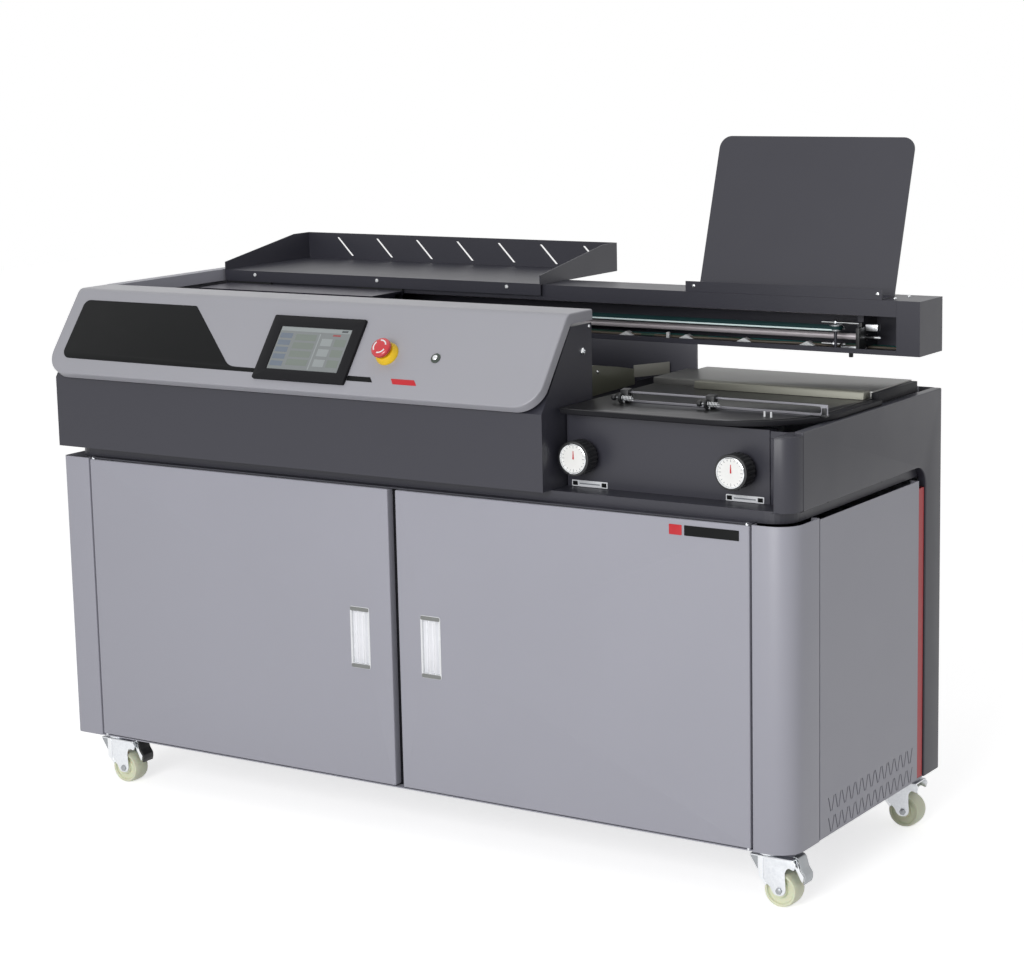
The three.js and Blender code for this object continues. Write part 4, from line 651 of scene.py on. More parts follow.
class BINDER_OT_cabinet(Operator):
    """Corner post, doors with hinge pins, and the badge on the right door"""
    bl_idname = "binder.cabinet"
    bl_label = "Cabinet"

    def execute(self, context):
        post = folded([(744, 18), (744, 0), (RIGHT_SIDE, 0, 45), (RIGHT_SIDE, 106), (804, 106)], 2.0)
        piece("corner_post_sheet", [(bar_z(post, CABINET_BOTTOM, CABINET_TOP), "light_grey_paint")],
              "cabinet", ["right_corner_post"])
        wall, slits, low, high = 2.0, 26, 111.0, 138.0
        slits_start, slits_end = 136.0, 492.0
        lean_share, width_share = 0.657, 0.234
        pitch = (slits_end - slits_start) / slits
        lean = np.where(np.arange(slits) % 2 == 0, 1.0, -1.0) * lean_share * pitch
        foot = slits_start + pitch * (np.arange(slits) + 0.5) + lean / 2
        below, above = (np.stack([at, at + width_share * pitch], 1).ravel() for at in (foot, foot - lean))
        start = bent((-752, 0), (0, -1), (-1, 0), 2.5, wall)
        column = bent((LEFT_SIDE, 0), (-1, 0), (0, 1), 12.0, wall, 10)
        rear = bent((LEFT_SIDE, DEPTH), (0, 1), (1, 0), 2.5, wall)
        paths = []
        for i, x, ends in ((0, LEFT_SIDE, ((-752, 18), (-800, DEPTH))),
                           (1, LEFT_SIDE + wall, ((-754, 18), (-800, DEPTH - wall)))):
            level = [np.vstack([ends[0], start[i], column[i], np.column_stack([np.full(len(at), x), at]), rear[i],
                                ends[1]])
                     for at in (below, below, above, above)]
            paths.append(np.stack(level))
        cells = np.zeros((3, paths[0].shape[1] - 1), bool)
        first = 1 + len(start[0]) + len(column[0])
        cells[1, first:first + len(below):2] = True
        panel = vented(*paths, (CABINET_BOTTOM, low, high, CABINET_TOP), cells)
        piece("left_panel_sheet", [(panel, "light_grey_paint")], "cabinet", ["left_end_panel"])
        # A near-black strip behind the gap between the doors: painted shadow in the deep gap
        gap = box((-18, 8), (18.7, 20.2), (106, 680.6), 0.5)
        piece("door_gap_seal", [(gap, "edge_black")], "cabinet")
        fold_radius = 2.5
        for side, low, high, pull, hinge in (
            ("left", -748.0, -13.5, -85.0, -742.0), ("right", 4.0, 740.0, 77.0, 734.0),
        ):
            outer = rect((low, high), (109, 678), fold_radius, 3)
            hole = rect((pull - 19.5, pull + 19.5), (332, 442), 6, 4)
            angle = np.linspace(0.0, math.pi / 2, 5)
            fold = [(1, fold_radius * (1 - math.sin(a)), fold_radius * (1 - math.cos(a))) for a in angle]
            rings = [(0, 0, 1.5), (0, 0, 0), *fold, (1, 0, 17.6), (1, 0.4, 18), (1, 1.1, 18), (1, 1.5, 17.6),
                     (1, 1.5, 1.5)]
            panel = frame_of(outer, hole, rings, partial(across, "y"))
            pins = [rod(4, a, b, (hinge, 6, 0), "z", 20) for a, b in ((105, 110.5), (676.5, 682.25))]
            piece(f"door_{side}_sheet", [(panel, "light_grey_paint"), *((p, "zinc_steel") for p in pins)],
                  f"{side}_door", [f"door_{side}"])
        red = rect((585, 610), (650, 668), 1, 3)
        black = rect((615, 721), (650, 668), 1, 3)
        piece("door_badge", [(bar_y(red, -0.8, 0.2, 0.2), "red_film"), (bar_y(black, -0.8, 0.2, 0.2), "plate_black")],
              "right_door")
        return {"FINISHED"}


class BINDER_OT_pulls(Operator):
    """Recessed door pulls: a thin frame with darker end caps and a fluted white well"""
    bl_idname = "binder.pulls"
    bl_label = "Door pulls"

    def execute(self, context):
        for side, x in (("left", -85.0), ("right", 77.0)):
            outer = rect((x - 22.5, x + 22.5), (328.5, 447.5), 4, 6)
            hole = rect((x - 18.4, x + 18.4), (337, 439), 1.5, 6)
            rings = [(1, 0, -0.25), (1, 0, -0.9), (1, 0.6, -1.5), (0, -0.6, -1.5), (0, 0, -0.9), (0, 0, 12.5),
                     (0, -0.9, 13.6), (0, -0.9, -0.25)]
            rim = frame_of(outer, hole, rings, partial(across, "y"))
            u = np.linspace(-18.6, 18.6, 61)
            flutes = np.column_stack([x + u, 5.2 + 2.6 * np.cos(u * 2 * math.pi / 13.5)])
            well = bar_z(np.vstack([flutes, [(x + 18.6, 12), (x - 18.6, 12)]]), 336.5, 439.5, 0.3)
            caps = [bar_y(rect((x - 21.5, x + 21.5), (z, z + 7.4), 2.5, 4), -2.3, -0.8, 0.5)
                    for z in (329.4, 439.2)]
            piece(f"pull_{side}_cup", [(rim, "white_plastic"), (well, "pull_well"),
                                       *((cap, "pull_cap") for cap in caps)],
                  f"{side}_door", [f"pull_{side}"], 40)
        return {"FINISHED"}


# ---- Console ----

class BINDER_OT_fascia(Operator):
    """Sloping fascia: a bent tray with round lower corners, and the plates on it"""
    bl_idname = "binder.fascia"
    bl_label = "Fascia"

    def execute(self, context):
        left, right = -828.0, CONSOLE_RIGHT
        bend, length, depth, round_corner = 20.0, 192.5, 20.0, 50.0
        turn = math.atan2(SLOPE_Z, SLOPE_Y)
        touch = bend * math.tan(turn / 2)
        level = 165.0 - SLOPE_SETBACK - touch
        arc = bend * turn

        def surface(x, s, out):
            """Along the slope, round the bend and back level: s from the lower edge, out along the normal."""
            s, out = np.broadcast_arrays(s, out)
            up = length - touch
            a = np.clip((s - up) / bend, 0.0, turn)
            over = np.maximum(s - up - arc, 0.0)
            base_y = SLOPE_SETBACK - touch * SLOPE_Y
            base_z = TOP - touch * SLOPE_Z
            centre_y, centre_z = base_y + bend * SLOPE_Z, base_z - bend * SLOPE_Y
            lean = math.atan2(SLOPE_Y, -SLOPE_Z) - a
            radius = np.maximum(bend + out, 0.5)
            y = centre_y + radius * np.cos(lean) + over
            z = centre_z + radius * np.sin(lean)
            run = np.minimum(s - up, 0.0)
            return np.stack([np.broadcast_to(x, y.shape), y + run * SLOPE_Y, z + run * SLOPE_Z], -1)

        total = length - touch + arc + level
        a = np.linspace(0.0, math.pi / 2, 15)
        corner = round_corner * np.column_stack([1 - np.sin(a), 1 - np.cos(a)])
        straight = [length - touch - 20.0]
        curve = np.linspace(length - touch, length - touch + arc, 9)
        rise = np.concatenate([corner[:, 1], straight, curve, [total]])
        gap = np.concatenate([corner[:, 0], np.zeros(len(rise) - len(corner))])
        outline = np.vstack([np.column_stack([left + gap, rise])[::-1], np.column_stack([right - gap, rise])])
        half = len(rise)

        def shell(distance, out):
            flat = inset(outline, distance)
            flat[[0, -1], 1] = total
            return surface(flat[:, 0], flat[:, 1], out)

        rings = [shell(d, o) for d, o in edges(-depth, 0.0, 3.0, 4)]
        inner = [shell(2.5, -2.5), shell(2.5, -depth)]
        layers = rings + inner
        count = len(outline)
        points = np.concatenate(layers)
        faces = []
        for one, two in ((i, i + 1) for i in range(len(layers) - 1) if i != len(rings) - 1):
            quads = grid(count, 2, False)
            faces += (np.where(quads < count, quads + one * count, quads - count + two * count)).tolist()
        quads = grid(count, 2, False)
        last = len(layers) - 1
        faces += np.where(quads < count, quads + last * count, quads - count).tolist()
        row = np.arange(half - 1)
        ladder = np.stack([row, row + 1, count - 2 - row, count - 1 - row], 1)
        faces += (ladder + (len(rings) - 1) * count).tolist()
        faces += (ladder[:, ::-1] + len(rings) * count).tolist()
        ends_in = [i * count for i in range(len(rings))]
        ends_out = [i * count + count - 1 for i in range(len(rings))]
        inner_in = [(len(rings) + i) * count for i in range(2)]
        inner_out = [(len(rings) + i) * count + count - 1 for i in range(2)]
        faces.append(ends_in + ends_out[::-1] + inner_out[1:] + inner_out[:1] + inner_in[:1] + inner_in[1:])
        shape = (points, faces)
        piece("fascia_tray", [(shape, "fascia_paint")], "cabinet", ["fascia"], 40)

        def plate(corners, thick=0.7, radius=0.25, steps=6):
            return carried(rounded(corners, steps), edges(-0.4, thick, radius, 2), on_slope)

        name = [(-797, 25.8, 14), (-507, 25.8, 8), (-372, 151.7, 40), (-303, 152.2, 0.4), (-303, 161, 0.4),
                (-799, 158.9, 20)]
        piece("name_plate", [(plate(name), "plate_black")], "cabinet")
        stripe = [(-87, 153.8, 0.4), (-36, 153.8, 0.4), (-28, 164, 0.4), (-87, 164, 0.4)]
        piece("stripe_plate", [(plate(stripe), "plate_black")], "cabinet")
        red = [(10.4, 153.6, 1.0), (62.6, 153.6, 1.0), (71.7, 164.6, 1.0), (18.3, 164.6, 1.0)]
        piece("red_plate", [(plate(red), "red_film")], "cabinet")
        return {"FINISHED"}


class BINDER_OT_screen(Operator):
    """Touch screen: bezel with a sunk edge, the display and plain fields on it"""
    bl_idname = "binder.screen"
    bl_label = "Touch screen"

    def execute(self, context):
        x, s = -195.0, 106.0
        outer = rect((x - 107.5, x + 107.5), (s - 68.5, s + 68.5), 3, 4)
        hole = rect((x - 81.5, x + 84), (s - 45, s + 47), 1.5, 3)
        rings = [(1, 0, 0.1), (1, 0, 5.2), (1, 0.6, 6.4), (1, 1.8, 7.0), (0, -3.0, 7.0), (0, -1.0, 6.6), (0, 0, 5.4),
                 (0, 0, 1.2), (0, -2, 0.1)]
        bezel = frame_of(outer, hole, rings, on_slope)
        back = carried(rect((x - 99, x + 99), (s - 60, s + 60), 0, 1), [(0, -15), (0, 1.4)], on_slope)
        piece("screen_frame", [(bezel, "bezel_black"), (back, "bezel_black")], "cabinet",
              ["screen_bezel"])

        def field(u0, v0, u1, v1, thick):
            top, low = s + 0.964 * v0, s + 0.964 * v1
            return carried(rect((x + u0, x + u1), (top, low), 0, 1), [(0, 4.6), (0, thick)], on_slope)

        raised = 5.12
        parts = [(field(-81, -46.5, 83.5, 48, 5.0), "display_grey")]
        parts.append((field(-80, -45.5, 82.5, -37, raised), "display_glass"))
        parts.append((field(62, -43.5, 76, -39.5, 5.24), "display_dark"))
        for i in range(5):
            parts.append((field(-78, -32 + i * 15.5, -49, -21 + i * 15.5, raised), "display_blue"))
        for i in range(4):
            parts.append((field(-41, -31 + i * 18.5, 8, -17.5 + i * 18.5, raised), "display_green"))
        parts.append((field(13, -34, 16, 46, raised), "display_glass"))
        for i in range(3):
            parts.append((field(22, -24 + i * 23, 47, -8 + i * 23, raised), "display_glass"))
            parts.append((field(53, -24 + i * 23, 79, -8 + i * 23, raised), "display_green"))
        parts.append((field(44, -34, 62, -30, raised), "display_red"))
        piece("screen_face", parts, "cabinet", ["touch_screen"])
        return {"FINISHED"}


class BINDER_OT_buttons(Operator):
    """Emergency stop with its collar, and the small push button"""
    bl_idname = "binder.buttons"
    bl_label = "Push buttons"

    def execute(self, context):
        def round_on_slope(profile, x, s, sides=48):
            points, faces = turned(profile, (0, 0, 0), "z", sides)
            return on_slope(x + points[:, 0], s - points[:, 1], points[:, 2]), faces

        x, s = -17.0, 104.0
        collar = [(7.5, -16), (10.8, -16), (10.8, 0.1), (23.2, 0.1), (23.2, 2.5), (22.7, 3.8), (20.4, 11.5),
                  (19.0, 13.6), (17.4, 14), (7.5, 14)]
        piece("stop_collar", [(round_on_slope(collar, x, s), "yellow_plastic")], "cabinet",
              ["estop_collar"], 35)
        head = [(0, -11), (7, -11), (7, 18.3), (16.5, 18.3), (18.4, 19.2), (19.6, 21.5), (20, 24), (19.6, 26.4),
                (18.2, 28.2), (15.6, 29.4), (11, 29.9), (0, 30.0)]
        parts = [(round_on_slope(head, x, s, 64), "red_plastic")]
        for start in np.radians([20, 140, 260]):
            t = np.linspace(0.0, math.radians(78), 13)[:, None] + start
            ring = np.concatenate([11.6 + 0 * t, 14.2 + 0 * t], 1)
            u, v = x + ring * np.cos(t), s - ring * np.sin(t)
            band = np.stack([np.concatenate([u[:, 0], u[::-1, 1]]), np.concatenate([v[:, 0], v[::-1, 1]])], 1)
            parts.append((carried(band, [(0, 29.0), (0, 30.05)], on_slope), "white_plastic"))
        piece("stop_head", parts, "emergency_stop", ["estop_button"], 35)
        x, s = 92.0, 106.0
        ring = [(8.2, 0.05), (9.8, 0.05), (9.8, 1.6), (9.2, 2.3), (6.0, 2.6), (5.7, 2.2), (8.2, 1.2)]
        piece("start_ring", [(round_on_slope(ring, x, s), "ring_green")], "cabinet")
        button = [(0, -15), (6.9, -15), (6.9, -3.4), (5.2, -3.0), (5.2, 4.0), (4.6, 4.7), (3.4, 5.1), (0, 5.2)]
        piece("start_cap", [(round_on_slope(button, x, s), "chrome")], "start_button",
              ["start_button"], 35)
        return {"FINISHED"}


# ---- Right housing ----

class BINDER_OT_housing(Operator):
    """End shell with its notch, rear wall and upper corner post"""
    bl_idname = "binder.housing"
    bl_label = "Right housing"

    def execute(self, context):
        corners = [(44, BOX_BOTTOM, 3), (545, BOX_BOTTOM, 38), (545, CABINET_BOTTOM, 3), (DEPTH, CABINET_BOTTOM, 3),
                   (DEPTH, BOX_TOP, 3), (44, BOX_TOP, 3)]
        outline = rounded(corners, 10)
        outline = left_hand(outline)
        rings = edges(804.0, RIGHT_SIDE, 2.2, 4)
        side = partial(across, "x")
        outer, faces = carried(outline, rings, side)
        back = [(2.0, 804.0), (2.0, 818.0)]
        count = len(outline)
        inner = np.concatenate([side(*inset(outline, d).T, w) for d, w in back])
        base = len(outer)
        faces = [f for f in faces if f != list(range(count))[::-1]]
        quads = grid(count, 2)
        faces += (quads[:, ::-1] + base).tolist()
        faces.append(list(range(base + count, base + 2 * count))[::-1])
        faces += np.where(quads < count, quads, quads - count + base)[:, ::-1].tolist()
        shell = (np.vstack([outer, inner]), faces)
        rear = box((775, 804.5), (DEPTH - 2.0, DEPTH), (CABINET_BOTTOM, BOX_TOP), 0.4)
        piece("end_shell_sheet", [(shell, "dark_grey_paint"), (rear, "dark_grey_paint")],
              "cabinet", ["right_end_shell"])
        wall = rounded([(-798, 512, 0), (358, 512, 1.5), (358, 516, 1.5), (300, 516, 1), (300, 610, 1),
                        (-798, 610, 0)], 3)
        piece("rear_wall_sheet", [(bar_z(wall, BOX_BOTTOM, 905.8, 0.5), "dark_grey_paint")], "cabinet",
              ["rear_wall"])
        post = folded([(742, 101), (742, 73), (782, 73), (782, 6), (820, 6, 36), (820, 42.5)], 2.0)
        cap = rounded([(782, 75, 0), (782, 6, 2), (820, 6, 36), (820, 42.5, 0.5), (802.5, 42.5, 0), (802.5, 75, 0)],
                      8)
        cap_rings = edges(828.8, 831.0, 0.9, 3)
        piece("upper_post_sheet",
              [(bar_z(post, BOX_BOTTOM, 829.4), "dark_grey_paint"),
               (carried(cap, cap_rings, partial(across, "z")), "dark_grey_paint")],
              "cabinet", ["upper_corner_post"])
        return {"FINISHED"}


class BINDER_OT_dials(Operator):
    """Two dial knobs with ribbed grips, white dials, marks and pointers, and the plates under them"""
    bl_idname = "binder.dials"
    bl_label = "Dial knobs"

    def execute(self, context):
        marks = context.scene.binder_sizes.dial_marks
        for side, x, plate in (("left", 374.0, (345.0, 419.0)), ("right", 689.0, (657.0, 731.0))):
            z = 760.0
            grip = [(0, 73 + 16), (6, 73 + 16), (6, 72.75), (20, 72.75), (22, 71.5), (22, 66), (28.5, 65),
                    (30.8, 63.5), (31.4, 61.5), (31.4, 37),
                    (30.8, 36.2), (30.8, 35.0), (0, 34.0)]
            ribbed = turned(grip, (x, 0, z), "y", 144, 24, 1.7, (7, 10))
            rim = turned([(26.8, 36), (31.2, 36), (31.8, 34.8), (31.8, 31.6), (31.0, 30.2), (29.6, 29.6),
                          (27.4, 29.6), (26.8, 30.4)], (x, 0, z), "y", 64)
            bezel = turned([(24.6, 36), (27.6, 36), (27.6, 29.4), (27.0, 28.4), (26.0, 28.0), (25.2, 28.6),
                            (24.6, 30.8)], (x, 0, z), "y", 64)
            dial = turned([(0, 34.4), (25.4, 34.4), (25.4, 31.6), (24.8, 31.2), (8, 31.0), (0, 31.0)], (x, 0, z), "y",
                          64)
            parts = [(ribbed, "black_plastic"), (rim, "black_plastic"), (bezel, "chrome"), (dial, "dial_white")]
            a = np.arange(marks) * 2 * math.pi / marks
            for i, t in enumerate(a):
                r = np.array([23.4, 23.4 - (5.0 if i % 5 == 0 else 3.0)])
                w = 0.35
                d, n = np.array([math.sin(t), math.cos(t)]), np.array([math.cos(t), -math.sin(t)])
                c = np.array([x, z])
                mark = np.array([c + d * r[0] - n * w, c + d * r[0] + n * w, c + d * r[1] + n * w,
                                 c + d * r[1] - n * w])
                parts.append((carried(mark, [(0, 31.1), (0, 30.85)], partial(across, "y")), "mark_grey"))
            needle = rounded([(x - 1.5, z - 1, 0.5), (x + 1.5, z - 1, 0.5), (x + 0.5, z + 14, 0.3),
                              (x - 0.5, z + 14, 0.3)], 2)
            parts.append((carried(needle, [(0, 31.1), (0, 30.3)], partial(across, "y")), "red_film"))
            piece(f"dial_{side}", parts, f"{side}_knob", [f"knob_{side}"], 32)
            low, high = plate
            label = bar_y(rect((low, high), (702.6, 714), 1, 2), 72.2, 73.1, 0.2)
            ends = [bar_y(rect((low + 2, low + 12), (704.5, 712), 0.6, 2), 71.9, 72.4, 0.1),
                    bar_y(rect((high - 12, high - 2), (704.5, 712), 0.6, 2), 71.9, 72.4, 0.1)]
            line = bar_y(rect((low + 16, high - 16), (707.2, 709.2), 0, 1), 71.9, 72.4, 0.1)
            piece(f"dial_plate_{side}", [(label, "label_white"), *((e, "plate_black") for e in ends),
                                         (line, "mark_grey")], "cabinet")
        return {"FINISHED"}


# ---- Casters ----

class BINDER_OT_casters(Operator):
    """Four swivel casters: cup and cheeks of zinc-plated sheet, nylon wheels, and two brake pedals"""
    bl_idname = "binder.casters"
    bl_label = "Casters"

    def execute(self, context):
        wheel_radius, cheek_in, cheek_out = 31.6, 20.0, 22.2
        for place, x, y in (("front_left", -752.0, 50.0), ("front_right", 752.0, 50.0),
                            ("rear_left", -752.0, 560.0), ("rear_right", 752.0, 560.0)):
            hub = (x + 28.0, y, wheel_radius)
            cup = turned([(0, 101.8), (20, 101.8), (20.8, 100.6), (20.8, 98.4), (17, 97.0), (17, 95.6), (20.6, 94.4),
                          (20.6, 91.6), (19.6, 90.6), (0, 90.6)],
                         (x, y, 0), "z", 40)
            crown = box((x - 29, x + 56), (y - cheek_out, y + cheek_out), (88.4, 91.2), 1.2)
            cheek = rounded([(x - 2, 91, 1), (x - 2, 48, 6), (x + 11, 36, 4), (x + 18, 23, 10), (x + 41.5, 23, 12),
                             (x + 39, 66, 8),
                             (x + 45, 76.5, 6), (x + 57, 72, 3), (x + 60, 84, 4), (x + 54, 91, 2)], 7)
            strip = rounded([(x - 12.8, 90.6, 0.6), (x - 12.8, 53, 2), (x + 1.5, 37.5, 1), (x + 5.5, 41, 1),
                             (x - 2, 50, 1), (x - 2, 90.6, 0.6)], 3)
            gusset = rounded([(x - 29.6, 91, 1.5), (x - 11, 61.6, 3), (x - 4, 61.6, 1), (x - 4, 91, 1)], 4)
            parts = [(cup, "zinc_steel"), (crown, "zinc_steel")]
            for side in (-1.0, 1.0):
                near, far = sorted((y + side * cheek_in, y + side * cheek_out))
                parts.append((bar_y(cheek, near, far, 0.5), "zinc_steel"))
                low, high = sorted((y + side * 19.4, y + side * 22.6))
                parts.append((bar_y(strip, low, high, 0.8), "chrome"))
                parts.append((bar_y(gusset, near + 0.3, far - 0.3, 0.3), "cast_aluminium"))
                outer = y + side * cheek_out
                head = [(0, outer + side * 3.6), (3.6, outer + side * 3.4), (6.2, outer + side * 2.2), (6.6, outer),
                        (0, outer)]
                parts.append((turned(head, (hub[0], 0, hub[2]), "y", 6 if side < 0 else 24), "cast_aluminium"))
            parts.append((rod(4.6, y - 22, y + 22, (hub[0], 0, hub[2]), "y", 20), "chrome"))
            piece(f"caster_cheeks_{place}", parts, f"fork_{place}", [f"caster_fork_{place}"])
            a = np.linspace(-1.0, 1.0, 9)
            tread = np.column_stack([wheel_radius - 2.2 * np.abs(a) ** 3.6, 18.2 * a])
            wheel = [(5.2, -19), (11.5, -19), (12.8, -18), (13.4, -13.4), (14.6, -12.4), (23.2, -12.4), (24.4, -13.4),
                     (25.4, -17.4), (26.6, -18.2),
                     *tread.tolist(), (26.6, 18.2), (25.4, 17.4), (24.4, 13.4), (23.2, 12.4), (14.6, 12.4),
                     (13.4, 13.4), (12.8, 18), (11.5, 19), (5.2, 19)]
            piece(f"caster_roll_{place}", [(turned(wheel, hub, "y", 64), "cream_nylon")], f"wheel_{place}",
                  [f"caster_wheel_{place}"])
            if not place.startswith("front"):
                continue
            finish_name, slot = ("black_plastic", "black_plastic") if place == "front_left" else ("cast_aluminium",
                                                                                                  "zinc_steel")
            pivot = x + 38.0
            bend = [(pivot + 12, 92, 0), (pivot + 20, 92, 6), (pivot + 26, 72, 6), (pivot + 33.1, 61.5, 4),
                    (pivot + 33.1, 54, 3), (pivot + 31, 47, 0)]
            tongue = folded(bend, 2.6, 3.0, 5)
            ear = rounded([(pivot + 12, 91, 2), (pivot + 19, 91, 2), (pivot + 25.6, 71, 3), (pivot + 33, 61, 2),
                           (pivot + 31, 49, 1), (pivot + 27, 54, 2), (pivot + 21, 66, 2), (pivot + 12, 80, 2)], 4)
            stub = bar_y(rect((pivot + 13, pivot + 19), (76, 69), 2, 3), y - 12, y + 12, 0.5)
            parts = [(bar_y(tongue, y - 11, y + 19, 0.5), finish_name), (stub, "black_plastic")]
            parts += [(bar_y(ear, low, low + 2.2, 0.4), "chrome") for low in (y - 12.2, y + 17.4)]
            piece(f"pedal_{place}_lever", parts, f"pedal_{place}", [f"brake_pedal_{place}"])
        return {"FINISHED"}


# ---- Table ----

class BINDER_OT_table(Operator):
    """Cover table: polished rear and front plates, nip plate, slotted guide bar and the two spring stops"""
    bl_idname = "binder.table"
    bl_label = "Cover table"

    def execute(self, context):
        front = rounded([(342, 37, 1), (792, 37, 170), (792, 372.4, 0.5), (342, 372.4, 0.5)], 24)
        rear = rounded([(342, 372.3, 0.5), (792, 372.3, 0.5), (792, 540, 1), (364, 540, 1), (364, 500, 1),
                        (342, 500, 1)], 3)
        post = rect((522, 612), (297.3, 387.3), 6, 5)
        # The black body under the front plate and the black side edge of the rear plate are painted shadow: shade
        # under the plate's front edge and in the gap by the housing
        under = rounded([(343, 38.5, 1), (812, 38.5, 170), (812, 371, 1), (343, 371, 1)], 24)
        side_edge = rect((790, 804), (371.5, 539), 1, 2)
        parts = [(bar_z(front, 846.4, 848, 0.3), "front_steel"), (bar_z(under, 838, 846.6, 0.7), "edge_black"),
                 (bar_z(rear, 838, 860, 0.7), "table_steel"), (bar_z(side_edge, 838.2, 858, 1.0), "edge_black"),
                 (bar_z(post, BOX_BOTTOM, 839, 0.5), "cast_aluminium")]
        for at in ((715.5, 105.0), (729.5, 102.5)):
            pin = turned([(0, 847.6), (1.9, 847.6), (1.9, 856.6), (1.2, 857.6), (0, 857.8)], (*at, 0), "z", 12)
            parts.append((pin, "white_plastic"))
        piece("table_plates", parts, "cover_table", ["cover_table"])
        nip = rounded([(344.4, 848.2, 0.5), (370.2, 848.2, 0.5), (370.2, 862, 0.8), (347.4, 862, 3)], 4)
        piece("nip_strip", [(bar_x(nip, 444, 787, 0.6), "nip_steel")], "nip_plate", ["nip_plate"])
        outer = rect((402, 812), (848.2, 868), 2, 4)
        slot = rect((414, 800), (852.4, 864.4), 4, 6)
        rings = [(1, 0, 150.5), (1, 0.5, 150.0), (0, -0.5, 150.0), (0, 0, 150.5), (0, 0, 153.5), (0, -0.5, 154.0),
                 (1, 0.5, 154.0), (1, 0, 153.5)]
        bar = frame_of(outer, slot, rings, partial(across, "y"))
        foot = box((802, 811.5), (145, 159), (846.4, 851.4), 0.8)
        clamp = box((803, 811), (146.5, 149.9), (851, 862), 0.8)
        piece("guide_rail", [(bar, "bar_steel"), (foot, "black_plastic"), (clamp, "black_plastic")], "cover_table",
              ["guide_bar"])
        axle_y, axle_z, coil_radius, turns = 131, 857.8, 4.2, 7
        for side, x in (("left", 414.0), ("right", 588.0)):
            saddle = rounded([(149.6, 868.3, 0.3), (149.6, 850, 0.3), (143.6, 848.4, 1), (141, 852, 2),
                              (143, 870.6, 2), (158, 872.6, 2),
                              (160, 850, 2), (154.4, 850, 0.3), (154.4, 868.3, 0.3)], 4)
            disc = turned([(0, x - 1.6), (8.4, x - 1.6), (9.2, x - 0.8), (9.2, x + 0.8), (8.4, x + 1.6),
                           (0, x + 1.6)], (0, axle_y, axle_z), "x", 32)
            spindle = rod(1.6, x - 14, x + 26, (0, axle_y, axle_z), "x", 16)
            knob = turned([(0, x - 19.5), (2.6, x - 19), (5.0, x - 16.8), (5.6, x - 14), (5.0, x - 11),
                           (2.4, x - 9.4), (0, x - 9.2)],
                          (0, axle_y, axle_z), "x", 28)
            pin = turned([(0, 848.2), (1.7, 848.4), (1.7, 858.4), (0.9, 859.2), (0, 859.2)], (x, 141.5, 0), "z", 12)
            t = np.linspace(0.0, 1.0, 161)
            turn = 2 * turns * math.pi * t
            coil = np.column_stack([x + 3 + 21 * t, axle_y + coil_radius * np.cos(turn),
                                    axle_z + coil_radius * np.sin(turn)])
            bracket = box((x - 3, x + 3), (131, 144), (855.4, 860.2), 0.8)
            parts = [(bar_x(saddle, x - 8, x + 8, 0.2), "black_plastic"), (disc, "black_plastic"),
                     (knob, "black_plastic"),
                     (bracket, "black_plastic"), (spindle, "ground_steel"), (pin, "white_plastic"),
                     (tube(coil, 0.7, 6), "chrome")]
            piece(f"stop_{side}_clamp", parts, f"{side}_stop", [f"cover_stop_{side}"])
        return {"FINISHED"}


# ---- Beam ----

